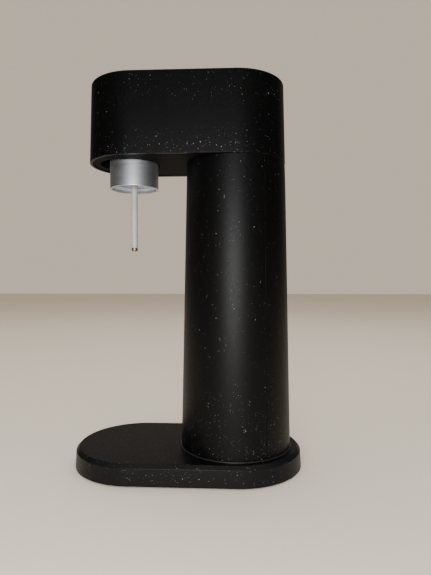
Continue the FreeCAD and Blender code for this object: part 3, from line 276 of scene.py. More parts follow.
def round_over(edge):
    """Insets from the side and depths below the face at four places along the quarter circle that
    rounds an edge, from full inset to none."""
    turn = np.linspace(0.0, math.pi / 2.0, 4)
    return edge * (1.0 - np.sin(turn)), edge * (1.0 - np.cos(turn))


def arc_wall(start, end, steps, edge, extra=(), **section):
    """Rows of a curved wall from one angle to another.  At each end the section shrinks through a
    quarter circle of radius edge, so that the upright edges are round too."""
    insets, depths = round_over(edge)
    turns = depths[:-1] / HEAD_HALF
    sections = [wall_section(edge=edge, inset=inset, **section) for inset in insets[:-1]]
    first = [swept(shape, [start + turn]) for shape, turn in zip(sections, turns)]
    last = [swept(shape, [end - turn]) for shape, turn in zip(sections, turns)]
    inner = np.linspace(start + edge / HEAD_HALF, end - edge / HEAD_HALF, steps)
    body = swept(wall_section(edge=edge, **section), np.union1d(inner, extra))
    return np.concatenate([*first, body, *last[::-1]])


def turned_along_y(profile, x, z, around=48):
    """Grid of a turned piece whose axis lies along Y at x, z: (radius, y) goes to
    (x + radius sin a, y, z + radius cos a)."""
    across, rise, along = np.moveaxis(turned(profile, 0.0, around), -1, 0)
    return np.stack([x + across, along, z - rise], -1)


def rod_profile(radius, start, end, edge=0.4 * MM, bore=0.0):
    """Closed outline of half of a rod or tube between two places on its axis."""
    inner_edge = edge / 2.0 if bore else 0.0
    return soft_outline([(bore, start), (radius, start), (radius, end), (bore, end)],
                        [inner_edge, edge, edge, inner_edge])


def soft_box(corner, opposite, edge=0.5 * MM):
    """Rows of a box with rounded edges: outlines that grow through a quarter circle at the bottom
    and shrink again at the top, closed by a point at each end."""
    (x0, y0, z0), (x1, y1, z1) = corner, opposite
    insets, depths = round_over(edge)
    flats = [soft_outline([(x0 + i, y0 + i), (x1 - i, y0 + i), (x1 - i, y1 - i), (x0 + i, y1 - i)],
                          [max(edge - i, SMALLEST_EDGE)] * 4, 4) for i in insets]
    centre = np.tile([(x0 + x1) / 2.0, (y0 + y1) / 2.0], (len(flats[0]), 1))
    flats = [centre, *flats, *flats[::-1], centre]
    levels = [z0, *(z0 + depths), *(z1 - depths[::-1]), z1]
    return np.stack([np.column_stack([flat, np.full(len(flat), z)])
                     for flat, z in zip(flats, levels)])


def tube_along(path, radius, around=32):
    """Rows of circles carried along a path that lies in an upright plane: each circle is spanned
    by the path's sideways direction and by the cross product of that with the path's own."""
    along = np.gradient(path, axis=0)
    along /= np.linalg.norm(along, axis=1, keepdims=True)
    side = np.tile([1.0, 0.0, 0.0], (len(path), 1))
    up = np.cross(side, along)
    a = np.linspace(0.0, FULL_TURN, around, endpoint=False)[None, :, None]
    return path[:, None] + radius * (np.cos(a) * side[:, None] + np.sin(a) * up[:, None])


def coil(x, y, z0, z1, mean_radius, wire, turns, around=8):
    """Rows of a coil spring: a circle of the wire's radius carried along a helix that rises evenly
    between z0 and z1 and lies flat over its first and last three quarters of a turn."""
    flat = 0.75
    t = np.linspace(0.0, turns + 2.0 * flat, int(28 * (turns + 2.0 * flat)))
    share = np.clip((t - flat) / turns, 0.0, 1.0)
    rise = z0 + wire + share * (z1 - z0 - 2.0 * wire)
    a = FULL_TURN * t[:, None]
    b = np.linspace(0.0, FULL_TURN, around, endpoint=False)[None, :]
    radius = mean_radius + wire * np.cos(b)
    return np.stack([x + radius * np.cos(a), y + radius * np.sin(a),
                     rise[:, None] + wire * np.sin(b) + 0.0 * a], -1)


def obround_frame(front_y, rear_y):
    """Feet and outward directions along an obround outline whose end centres lie at front_y and
    rear_y: half a turn about each centre, joined by straight sides on which only the foot moves."""
    turn = np.linspace(0.0, math.pi, END_POINTS)
    side = np.linspace(0.0, 1.0, SIDE_POINTS + 2)[1:-1]
    angle = np.concatenate([turn - math.pi / 2, np.full(SIDE_POINTS, math.pi / 2),
                            turn + math.pi / 2, np.full(SIDE_POINTS, 1.5 * math.pi)])
    foot = np.concatenate([np.full(END_POINTS, front_y), front_y + (rear_y - front_y) * side,
                           np.full(END_POINTS, rear_y), rear_y + (front_y - rear_y) * side])
    return foot, np.sin(angle), -np.cos(angle)


def obround_rows(profile, front_y, rear_y):
    """Grid of an obround wall: each (radius, z) of the profile is carried along the outline, to
    foot + radius * direction."""
    foot, out_x, out_y = obround_frame(front_y, rear_y)
    radius, z = profile[:, 0, None], profile[:, 1, None]
    return np.stack([radius * out_x, foot + radius * out_y,
                     np.broadcast_to(z, (len(profile), len(foot)))], -1)


def ring_rows(profile, centre_y, like):
    """Rows of circles about (0, centre_y) whose points lie in the same directions as those of the
    row like, seen from that centre."""
    angles = np.arctan2(like[:, 0], centre_y - like[:, 1])
    return swept(profile, angles, centre_y).transpose(1, 0, 2)


def between(first, last, count=6):
    """Rows that run evenly from one row to another, both left out."""
    t = np.linspace(0.0, 1.0, count + 2)[1:-1, None, None]
    return first + (last - first) * t


def first_at(outline, radius):
    """Number of an outline's first point at a radius."""
    return int(np.argmax(np.isclose(outline[:, 0], radius)))


def with_hole(rows, at, hole):
    """Rows of a cover with the rows of a round hole let into its deck, after the row numbered at."""
    return np.concatenate([rows[:at + 1], between(rows[at], hole[0]), hole,
                           between(hole[-1], rows[at + 1]), rows[at + 1:]])


def grid_faces(rows, closed_rows, first):
    """Quads between neighbouring points of a grid, round each row, and from the last row back to
    the first if closed_rows.  Their corners are numbered from first."""
    count, around = rows.shape[:2]
    index = first + np.arange(count * around).reshape(count, around)
    if closed_rows:
        index = np.concatenate([index, index[:1]])
    index = np.concatenate([index, index[:, :1]], 1)
    quads = np.stack([index[:-1, :-1], index[:-1, 1:], index[1:, 1:], index[1:, :-1]], -1)
    return quads.reshape(-1, 4)


def skin(name, grids, closed_rows=True, sharp=38.0):
    """Mesh object from one or more grids of points, each its own island.  Islands whose rows don't
    close get a face over their first and last row.  Coincident points are merged and the faces
    turned outwards."""
    points = np.concatenate([rows.reshape(-1, 3) for rows in grids])
    starts = np.cumsum([0] + [rows.shape[0] * rows.shape[1] for rows in grids])
    quads = np.concatenate([grid_faces(rows, closed_rows, first)
                            for rows, first in zip(grids, starts)])
    mesh = bpy.data.meshes.new(name)
    mesh.vertices.add(len(points))
    mesh.vertices.foreach_set("co", points.reshape(-1).astype(np.float32))
    mesh.loops.add(quads.size)
    mesh.loops.foreach_set("vertex_index", quads.reshape(-1).astype(np.int32))
    mesh.polygons.add(len(quads))
    mesh.polygons.foreach_set("loop_start", np.arange(len(quads), dtype=np.int32) * 4)
    mesh.update(calc_edges=True)
    work = bmesh.new()
    work.from_mesh(mesh)
    bmesh.ops.remove_doubles(work, verts=work.verts, dist=2e-6)
    if not closed_rows:
        rim = [edge for edge in work.edges if edge.is_boundary]
        bmesh.ops.holes_fill(work, edges=rim, sides=0)
    bmesh.ops.recalc_face_normals(work, faces=work.faces)
    work.to_mesh(mesh)
    work.free()
    mesh.polygons.foreach_set("use_smooth", np.ones(len(mesh.polygons), bool))
    mesh.set_sharp_from_angle(angle=math.radians(sharp))
    piece = bpy.data.objects.new(name, mesh)
    bpy.context.scene.collection.objects.link(piece)
    return piece


def fit(piece, slot, body, *nodes):
    """Gives a finished piece its finish and its body, and hides the CAD nodes it stands for."""
    piece.data.materials.append(slot_material(slot))
    if body:
        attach(piece, body)
    if nodes:
        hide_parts(*nodes)
    return piece


# ---------------------------------------------------------------- material helpers
MIDDLE_OF_NOISE = 0.3, 0.7       # range that holds most of a noise's values


def new_material(name):
    """Empty material with its output and a Principled BSDF."""
    material = bpy.data.materials.new(name)
    material.use_nodes = True
    tree = material.node_tree
    tree.nodes.clear()
    shader = add(tree, "ShaderNodeBsdfPrincipled")
    add(tree, "ShaderNodeOutputMaterial", Surface=shader.outputs["BSDF"])
    return material, tree, shader


def feed(tree, node, values):
    """Feeds a node's inputs, by name or number, with sockets, numbers, vectors or colours."""
    for key, value in values.items():
        socket = node.inputs[key]
        if isinstance(value, bpy.types.NodeSocket):
            tree.links.new(value, socket)
        elif socket.type == "RGBA":
            socket.default_value = (*value[:3], 1.0)
        else:
            socket.default_value = value


def add(tree, kind, **values):
    """New node with its inputs fed and its other settings made."""
    node = tree.nodes.new(kind)
    for key, value in values.items():
        if key in node.inputs:
            feed(tree, node, {key: value})
        else:
            setattr(node, key, value)
    return node


def math_node(tree, operation, *values):
    """Result of a Math node."""
    node = add(tree, "ShaderNodeMath", operation=operation)
    feed(tree, node, dict(enumerate(values)))
    return node.outputs[0]


def mix_colour(tree, factor, first, second):
    """Result of a Mix node for colours."""
    node = add(tree, "ShaderNodeMix", data_type="RGBA")
    feed(tree, node, {0: factor, 6: first, 7: second})
    return node.outputs[2]


def shades(colour, dark, light):
    """A colour's darker and lighter shade."""
    return [c * dark for c in colour], [min(1.0, c * light) for c in colour]


def remap(tree, value, low_in, high_in, low_out=0.0, high_out=1.0):
    """Smooth change of a value from one range to another."""
    node = add(tree, "ShaderNodeMapRange", interpolation_type="SMOOTHSTEP", Value=value,
               **{"From Min": low_in, "From Max": high_in, "To Min": low_out, "To Max": high_out})
    return node.outputs["Result"]


def new_group(name, inputs, outputs):
    """Shader node group with named inputs (kind, default) and outputs (kind)."""
    group = bpy.data.node_groups.new(name, "ShaderNodeTree")
    for key, (kind, default) in inputs.items():
        socket = group.interface.new_socket(key, in_out="INPUT", socket_type=kind)
        socket.default_value = default
    for key, kind in outputs.items():
        group.interface.new_socket(key, in_out="OUTPUT", socket_type=kind)
    start = group.nodes.new("NodeGroupInput")
    end = group.nodes.new("NodeGroupOutput")
    return group, start, end


SHARED = {}                      # node groups and materials that are made once


def shared(name, make):
    """A node group or material that is made once."""
    if name not in SHARED:
        SHARED[name] = make()
    return SHARED[name]


def use_group(tree, name, make, **values):
    """Node of a shared group with its inputs fed.  An underscore in a name stands for a space."""
    node = add(tree, "ShaderNodeGroup", node_tree=shared(name, make))
    feed(tree, node, {key.replace("_", " "): value for key, value in values.items()})
    return node


def bumped(tree, shader, height, distance, strength=1.0):
    """Feeds a height to the shader as a bump."""
    bump = add(tree, "ShaderNodeBump", Height=height, Strength=strength, Distance=distance)
    feed(tree, shader, {"Normal": bump.outputs["Normal"]})


def grain_at(tree, grains):
    """Place on the object, and the grain and the cloud there."""
    place = add(tree, "ShaderNodeTexCoord").outputs["Object"]
    grain = use_group(tree, "Grain", grain_group, Vector=place, Grains_per_metre=grains)
    return place, grain.outputs["Height"], grain.outputs["Cloud"]


def varied(tree, shader, tone, colours, gloss, roughness, depth, height):
    """Lets tone choose between two colours, gloss between two roughnesses, and height raise a
    bump of the given depth in millimetres."""
    feed(tree, shader, {
        "Base Color": mix_colour(tree, remap(tree, tone, *MIDDLE_OF_NOISE), *colours),
        "Roughness": remap(tree, gloss, *MIDDLE_OF_NOISE, *roughness)})
    bumped(tree, shader, height, depth * MM)


# ---------------------------------------------------------------- shared effects
def flecks_group():
    """Scattered pale flecks.  Space is divided into cells with one point each; a cell holds a
    fleck if its own random number is below the share, and the fleck is a blot about the point."""
    group, start, end = new_group(
        "Flecks",
        {"Vector": ("NodeSocketVector", (0, 0, 0)), "Cells per metre": ("NodeSocketFloat", 500.0),
         "Share": ("NodeSocketFloat", 0.1), "Radius": ("NodeSocketFloat", 0.2)},
        {"Mask": "NodeSocketFloat"})
    cells = add(group, "ShaderNodeTexVoronoi", feature="F1", distance="EUCLIDEAN",
                Vector=start.outputs["Vector"], Scale=start.outputs["Cells per metre"])
    split = add(group, "ShaderNodeSeparateColor", Color=cells.outputs["Color"])
    chosen = math_node(group, "LESS_THAN", split.outputs["Red"], start.outputs["Share"])
    size = math_node(group, "MULTIPLY", start.outputs["Radius"],
                     math_node(group, "MULTIPLY_ADD", split.outputs["Green"], 0.9, 0.35))
    inside = math_node(group, "LESS_THAN", cells.outputs["Distance"], size)
    mask = math_node(group, "MULTIPLY", chosen, inside)
    dim = math_node(group, "POWER", split.outputs["Blue"], 2.0)
    bright = math_node(group, "MULTIPLY_ADD", dim, 0.85, 0.15)
    feed(group, end, {"Mask": math_node(group, "MULTIPLY", mask, bright)})
    return group


def grain_group():
    """Fine moulded grain, and a cloud fifty times as broad."""
    group, start, end = new_group(
        "Grain",
        {"Vector": ("NodeSocketVector", (0, 0, 0)), "Grains per metre": ("NodeSocketFloat", 900.0)},
        {"Height": "NodeSocketFloat", "Cloud": "NodeSocketFloat"})
    place, grains = start.outputs["Vector"], start.outputs["Grains per metre"]
    fine = add(group, "ShaderNodeTexNoise", Vector=place, Scale=grains, Detail=3.0, Roughness=0.6)
    broad = add(group, "ShaderNodeTexNoise", Vector=place, Detail=4.0, Roughness=0.55,
                Scale=math_node(group, "MULTIPLY", grains, 0.02))
    feed(group, end, {"Height": fine.outputs["Fac"], "Cloud": broad.outputs["Fac"]})
    return group


# ---------------------------------------------------------------- materials
def fleck_share(tree, height, cloud):
    """Share of the fleck places that hold a fleck.  It is patchy, and higher towards the bottom
    of the column and along the bottom of the head."""
    finish = bpy.context.scene.carbonator_finish
    gather = remap(tree, height, FOOT_TOP, FOOT_TOP + 0.10, 1.0, 0.0)
    foot = math_node(tree, "LESS_THAN", height, FOOT_TOP + 0.2 * MM)
    gather = math_node(tree, "MULTIPLY", gather, math_node(tree, "MULTIPLY_ADD", foot, -0.6, 1.0))
    rim = remap(tree, height, HEAD_LOW + 0.020, HEAD_LOW + 0.001, 0.0, 0.6)
    above = math_node(tree, "GREATER_THAN", height, HEAD_LOW)
    dense = math_node(tree, "MAXIMUM", gather, math_node(tree, "MULTIPLY", rim, above))
    share = math_node(tree, "MULTIPLY_ADD", dense, finish.fleck_gather, finish.fleck_share)
    return math_node(tree, "MULTIPLY", remap(tree, cloud, 0.35, 0.65, 0.55, 1.0), share)


def composite():
    """Matte black composite: charcoal ground, clouded a little, with scattered pale and dim flecks
    and a fine grain.  The side of the foot is a little paler."""
    finish = bpy.context.scene.carbonator_finish
    material, tree, shader = new_material("Flecked composite")
    place, grain, cloud = grain_at(tree, 1100.0)
    height = add(tree, "ShaderNodeSeparateXYZ", Vector=place).outputs["Z"]
    share = fleck_share(tree, height, cloud)
    colour = mix_colour(tree, remap(tree, cloud, *MIDDLE_OF_NOISE),
                        *shades(finish.composite, 0.82, 1.18))
    side = math_node(tree, "LESS_THAN", height, FOOT_TOP - 0.3 * MM)
    colour = mix_colour(tree, side, colour, finish.foot)
    for cells, radius, scale in ((620.0, 0.20, 1.0), (1000.0, 0.24, 0.50)):
        fleck = use_group(tree, "Flecks", flecks_group, Vector=place, Cells_per_metre=cells,
                          Share=share, Radius=radius)
        amount = math_node(tree, "MULTIPLY", fleck.outputs["Mask"], scale)
        colour = mix_colour(tree, amount, colour, finish.fleck)
    feed(tree, shader, {"Base Color": colour, "Specular IOR Level": 0.16,
                        "Roughness": remap(tree, grain, *MIDDLE_OF_NOISE, 0.38, 0.50)})
    bumped(tree, shader, grain, 0.06 * MM, 0.8)
    return material


def moulded(name, colour, roughness, grains=1400.0, depth=0.03, specular=0.5, cloud=1.0):
    """Plain moulded plastic: a colour that clouds a little, with fine grain."""
    material, tree, shader = new_material(name)
    _, grain, clouds = grain_at(tree, grains)
    feed(tree, shader, {"Specular IOR Level": specular})
    varied(tree, shader, clouds, shades(colour, 1.0 - 0.10 * cloud, 1.0 + 0.06 * cloud),
           grain, (roughness - 0.06, roughness + 0.06), depth, grain)
    return material


def cast_metal(name, colour, roughness, grains=500.0, depth=0.08, metallic=1.0):
    """Cast, stamped or plated metal: mottled tone and gloss with a shallow skin texture."""
    material, tree, shader = new_material(name)
    _, grain, clouds = grain_at(tree, grains)
    feed(tree, shader, {"Metallic": metallic})
    varied(tree, shader, clouds, shades(colour, 0.8, 1.1),
           clouds, (roughness - 0.08, roughness + 0.08), depth, grain)
    return material


def turned_metal(name, colour, roughness, pitch, centre_y, anisotropic=0.5):
    """Metal turned on a lathe: very fine rings of height and gloss along the vertical axis."""
    material, tree, shader = new_material(name)
    flattened = add(tree, "ShaderNodeMapping", Location=(0.0, -centre_y, 0.0),
                    Vector=add(tree, "ShaderNodeTexCoord").outputs["Object"],
                    Scale=(0.02, 0.02, 1.0))
    ring = add(tree, "ShaderNodeTexNoise", Vector=flattened.outputs["Vector"],
               Scale=1.0 / pitch, Detail=4.0, Roughness=0.65).outputs["Fac"]
    feed(tree, shader, {"Metallic": 1.0, "Anisotropic": anisotropic})
    varied(tree, shader, ring, shades(colour, 0.94, 1.04),
           ring, (roughness - 0.05, roughness + 0.07), 0.012, ring)
    return material


def slot_material(slot):
    """Material of each finish slot."""
    finish = bpy.context.scene.carbonator_finish
    makers = {
        "composite_black": composite,
        "underside_black": lambda: moulded("Underside black", (0.0062, 0.0064, 0.0070), 0.66,
                                           1400.0, 0.03, 0.03),
        "button_black": lambda: moulded("Button black", (0.004, 0.004, 0.0046), 0.34, 1800.0,
                                        0.02, 0.35),
        "seat_black": lambda: moulded("Seat ring black", (0.012, 0.012, 0.013), 0.38),
        "collar_aluminium": lambda: turned_metal("Anodised collar", finish.collar, 0.40,
                                                 0.35 * MM, COLLAR_Y),
        "holder_white": lambda: moulded("Holder white", finish.holder, 0.42, 900.0, 0.02),
        "tube_grey": lambda: moulded("Tube grey", finish.tube, 0.36, 900.0, 0.02),
        # Brown of the tip: partly a brass insert, partly painted warm floor reflection and painted
        # shade on its down-facing end.
        "tip_brass": lambda: turned_metal("Tip brass with painted reflection and shade", (0.26, 0.19, 0.11), 0.45, 0.2 * MM,
                                          COLLAR_Y, 0.2),
        "frame_grey": lambda: moulded("Frame grey", (0.10, 0.105, 0.11), 0.55, 700.0, 0.06),
        "foot_rubber": lambda: moulded("Foot rubber", (0.022, 0.022, 0.022), 0.8, 900.0, 0.08),
        "seal_rubber": lambda: moulded("Seal rubber", (0.52, 0.52, 0.49), 0.6, 700.0, 0.04),
        "hose_rubber": lambda: moulded("Hose rubber", (0.02, 0.02, 0.022), 0.6, 700.0, 0.06),
        "plate_steel": lambda: cast_metal("Plated steel", (0.52, 0.53, 0.54), 0.36),
        "screw_steel": lambda: cast_metal("Screw steel", (0.46, 0.46, 0.48), 0.32),
        "spring_steel": lambda: cast_metal("Spring steel", (0.56, 0.56, 0.58), 0.25),
        "chassis_alloy": lambda: cast_metal("Cast alloy", (0.48, 0.49, 0.50), 0.5, 350.0, 0.15),
        "block_brass": lambda: cast_metal("Block brass", (0.62, 0.47, 0.24), 0.3),
        "cylinder_paint": lambda: cast_metal("Cylinder enamel", (0.50, 0.52, 0.55), 0.32, 260.0,
                                             0.05, 0.0),
        "valve_brass": lambda: turned_metal("Valve brass", (0.66, 0.50, 0.24), 0.26, 0.3 * MM,
                                            COLUMN_Y, 0.3),
        "magnet_nickel": lambda: cast_metal("Magnet nickel", (0.60, 0.58, 0.54), 0.18),
    }
    return shared("slot " + slot, makers[slot])


# ---------------------------------------------------------------- pieces
class CARBONATOR_OT_dress(bpy.types.Operator):
    """Gives every CAD node the material of its finish slot"""
    bl_idname = "carbonator.dress"
    bl_label = "Dress the mechanism"

    def execute(self, context):
        for part in frame["record"]["subparts"]:
            node = frame["nodes"][part["node"]]
            node.data.materials.clear()
            node.data.materials.append(slot_material(part["material_slot"]))
        return {"FINISHED"}


class CARBONATOR_OT_foot(bpy.types.Operator):
    """Foot cover: leaning side, sloping rim, flat deck with a well under the column"""
    bl_idname = "carbonator.foot"
    bl_label = "Foot"

    def execute(self, context):
        sizes = context.scene.carbonator_sizes
        bottom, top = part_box("base_cover")
        centre = top.y - FOOT_HALF
        rim = top.z - sizes.foot_chamfer
        lean = 1.0 * MM
        inner = FOOT_HALF - sizes.wall
        shelf = FOOT_HALF - 20 * MM
        roof = top.z - sizes.wall
        outer = soft_outline(
            [(inner, bottom.z), (FOOT_HALF, bottom.z), (FOOT_HALF - lean, rim),
             (FOOT_HALF - lean - sizes.foot_chamfer, top.z), (shelf, top.z), (shelf, roof),
             (inner - lean, roof)],
            [0.0, 0.5 * MM, 1.2 * MM, 1.2 * MM, 0.0, 0.0, 0.5 * MM])
        wall = obround_rows(outer, -centre, centre)
        deck = first_at(outer, shelf)
        hole = ring_rows(np.array([[sizes.well, top.z], [sizes.well, roof]]), COLUMN_Y,
                         wall[deck])
        fit(skin("foot_cover", [with_hole(wall, deck, hole)]), "composite_black", "stand",
            "base_cover")
        return {"FINISHED"}


class CARBONATOR_OT_head(bpy.types.Operator):
    """Head cover: leaning obround wall with a flat top and a round hole for the button"""
    bl_idname = "carbonator.head"
    bl_label = "Head"

    def execute(self, context):
        sizes = context.scene.carbonator_sizes
        bottom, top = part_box("head_shell")
        front, rear = bottom.y + HEAD_HALF, top.y - HEAD_HALF
        lean = 2.0 * MM
        inner = HEAD_HALF - sizes.wall
        roof = top.z - sizes.wall
        shelf = HEAD_HALF - 10 * MM
        hole_radius = BUTTON_RADIUS + 0.5 * MM
        wall = soft_outline(
            [(inner, bottom.z), (HEAD_HALF, bottom.z), (HEAD_HALF - lean, top.z),
             (shelf, top.z), (shelf, roof), (inner - lean, roof)],
            [0.3 * MM, 0.6 * MM, 1.6 * MM, 0.0, 0.0, 0.5 * MM], 8)
        shell = obround_rows(wall, front, rear)
        edge = first_at(wall, shelf)
        lip = soft_outline([(shelf, top.z), (hole_radius, top.z), (hole_radius, roof),
                            (shelf, roof)], [0.0, 0.5 * MM, 0.2 * MM, 0.0])[1:-1]
        hole = ring_rows(lip, BUTTON_Y, shell[edge])
        fit(skin("head_cover", [with_hole(shell, edge, hole)]), "composite_black", "stand",
            "head_shell")
        return {"FINISHED"}


class CARBONATOR_OT_button(bpy.types.Operator):
    """Push button: dished round cap with a skirt"""
    bl_idname = "carbonator.button"
    bl_label = "Button"

    def execute(self, context):
        sizes = context.scene.carbonator_sizes
        bottom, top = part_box("push_button")
        dish_radius = BUTTON_RADIUS * 0.86
        skirt = BUTTON_RADIUS - 2 * MM
        under = top.z - sizes.wall
        cap = soft_outline(
            [(BUTTON_RADIUS, bottom.z), (BUTTON_RADIUS, top.z), (dish_radius, top.z),
             (0.0, top.z), (0.0, under), (skirt, under), (skirt, bottom.z)],
            [0.3 * MM, 0.9 * MM, 0.0, 0.0, 0.0, 0.5 * MM, 0.3 * MM], 8)
        inner = first_at(cap, dish_radius)
        reach = np.linspace(1.0, 0.0, 40)[1:-1]
        dish = np.stack([cap[inner, 0] * reach, top.z - sizes.dish * (1.0 - reach ** 2) ** 1.5], 1)
        cap[inner + 1, 1] -= sizes.dish
        profile = np.concatenate([cap[:inner + 1], dish, cap[inner + 1:]])
        grids = [turned(profile, BUTTON_Y), *self.stem(top.z)]
        fit(skin("button_cap", grids), "button_black", "button", "push_button")
        return {"FINISHED"}

    def stem(self, top):
        """Centre stem that presses the lever, and the two pegs inside the springs."""
        under = top - 3.2 * MM
        stem_radius, play = 5.0 * MM, 0.4 * MM
        peg_radius, peg_length = 2.2 * MM, 5.5 * MM
        stem = rod_profile(stem_radius, high("lever").z + play, under)
        peg = turned(rod_profile(peg_radius, under - peg_length, under), BUTTON_Y, 32)
        reach = np.array([spring_place("button_springs")[0], 0.0, 0.0])
        return [turned(stem, BUTTON_Y, 48), peg - reach, peg + reach]


class CARBONATOR_OT_column(bpy.types.Operator):
    """Front of the column with its ledges, foot flange and magnet seats"""
    bl_idname = "carbonator.column"
    bl_label = "Column"

    def execute(self, context):
        sizes = context.scene.carbonator_sizes
        bottom, top = COLUMN_LOW, COLUMN_TOP
        reach = math.pi - COVER_SPAN
        front = arc_wall(-reach, reach, 132, bottom=bottom, top=top, inside=sizes.wall,
                         edge=sizes.seam_edge)
        fit(skin("column_front", [front], closed_rows=False), "composite_black", "stand",
            "column_shell")
        grids = [self.ledge(side, reach, *ledge) for side in (-1, 1)
                 for ledge in ((3.0, -6.0, 3.3 * MM), (-1.0, -6.0, 2.8 * MM))]
        grids.append(self.flange(bottom))
        fit(skin("column_ledges", grids, closed_rows=False), "underside_black", "stand")
        self.magnet_seats()
        return {"FINISHED"}

    def ledge(self, side, reach, first, last, outside):
        """Strip inside the wall, between two angles in degrees past the wall's own end."""
        start, end = sorted(side * (reach + math.radians(angle)) for angle in (first, last))
        return arc_wall(start, end, 10, bottom=COLUMN_LOW + 0.1 * MM, top=COLUMN_TOP - 0.1 * MM,
                        outside=outside, inside=4.7 * MM, edge=INNER_EDGE)

    def flange(self, bottom):
        """Flat strip along the foot of the wall, through which the column is screwed down."""
        outer = COLUMN_BASE_RADIUS - 2 * MM
        low_z, high_z = bottom + 0.05 * MM, bottom + 3 * MM
        section = soft_outline([(SEAT_BORE, low_z), (outer, low_z), (outer, high_z),
                                (SEAT_BORE, high_z)], [INNER_EDGE] * 4)
        reach = math.radians(116.0)
        return swept(section, np.linspace(-reach, reach, 96))

    def magnet_seats(self):
        """Blocks that hold the magnets, reaching out to the column's wall."""
        face = high("shell_magnets").y - 0.3 * MM
        deep, half_high = 8 * MM, 6 * MM
        inner = high("shell_magnets").x - deep
        grids = []
        for z in magnet_levels():
            wall = column_radius(z) - 1.6 * MM
            outer = math.sqrt(wall ** 2 - (face - COLUMN_Y) ** 2)
            grids += [soft_box((x0, face - deep, z - half_high), (x1, face, z + half_high))
                      for x0, x1 in ((-outer, -inner), (inner, outer))]
        fit(skin("magnet_blocks", grids), "underside_black", "stand")


class CARBONATOR_OT_cover(bpy.types.Operator):
    """Removable rear cover with its finger notch, inner ribs and magnet seats"""
    bl_idname = "carbonator.cover"
    bl_label = "Rear cover"

    def execute(self, context):
        sizes = context.scene.carbonator_sizes
        bottom, top = low("rear_cover").z, COLUMN_TOP
        half = COVER_SPAN - sizes.cover_gap / HEAD_HALF
        across = sizes.notch * np.sin(np.linspace(-math.pi / 2, math.pi / 2, 41))
        notch_angles = math.pi + np.arcsin(across / column_radius(top))
        rows = arc_wall(math.pi - half, math.pi + half, 72, extra=notch_angles, bottom=bottom,
                        top=top, inside=sizes.wall, edge=sizes.seam_edge)
        drop = np.sqrt(np.clip(sizes.notch ** 2 - rows[..., 0] ** 2, 0.0, None))
        start, full = top - 20 * MM, top - 1.5 * MM
        rows[..., 2] -= drop * np.clip((rows[..., 2] - start) / (full - start), 0.0, 1.0)
        fit(skin("rear_shell", [rows], closed_rows=False), "composite_black", "rear_cover",
            "rear_cover")
        rib_half = 0.7
        ribs = [arc_wall(math.pi - rib_half, math.pi + rib_half, 36, bottom=z - 1 * MM,
                         top=z + 1 * MM, outside=2.9 * MM, inside=5.4 * MM, edge=INNER_EDGE,
                         levels=2)
                for z in np.arange(100, 300, 40) * MM]
        fit(skin("cover_ribs", ribs, closed_rows=False), "underside_black", "rear_cover")
        self.magnet_seats()
        return {"FINISHED"}

    def magnet_seats(self):
        """Round bosses from the cover's wall to its magnets."""
        face = low("cover_magnets").y + 0.2 * MM
        across = high("cover_magnets").x - MAGNET_RADIUS
        radius = MAGNET_RADIUS + 2.0 * MM
        grids = []
        for z in magnet_levels():
            wall = column_radius(z) - 2.0 * MM
            end = COLUMN_Y + math.sqrt(wall ** 2 - (across + 4.0 * MM) ** 2)
            boss = rod_profile(radius, face, end)
            grids += [turned_along_y(boss, side * across, z) for side in (-1, 1)]
        fit(skin("cover_magnet_bosses", grids), "underside_black", "rear_cover")


class CARBONATOR_OT_seat(bpy.types.Operator):
    """Thin ring under the column, and the six rubber feet"""
    bl_idname = "carbonator.seat"
    bl_label = "Seat ring and feet"

    def execute(self, context):
        bottom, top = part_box("seat_ring")
        ring = soft_outline([(SEAT_BORE, bottom.z), (top.x, bottom.z), (top.x, top.z),
                             (SEAT_BORE, top.z)], [0.1 * MM, 0.1 * MM, 0.45 * MM, 0.1 * MM])
        fit(skin("foot_ring", [turned(ring, COLUMN_Y)]), "seat_black", "stand", "seat_ring")
        pad_radius, pad_edge = 8.0 * MM, 0.9 * MM
        pad = turned(rod_profile(pad_radius, 0.0, high("rubber_feet").z, pad_edge), 0.0, 48)
        places = (39.0, -90.0), (55.0, -2.0), (33.0, 99.5)      # x and y in millimetres
        grids = [pad + np.array([side * x, y, 0.0]) * MM for x, y in places for side in (-1, 1)]
        fit(skin("foot_pads", grids), "foot_rubber", "stand", "rubber_feet")
        return {"FINISHED"}


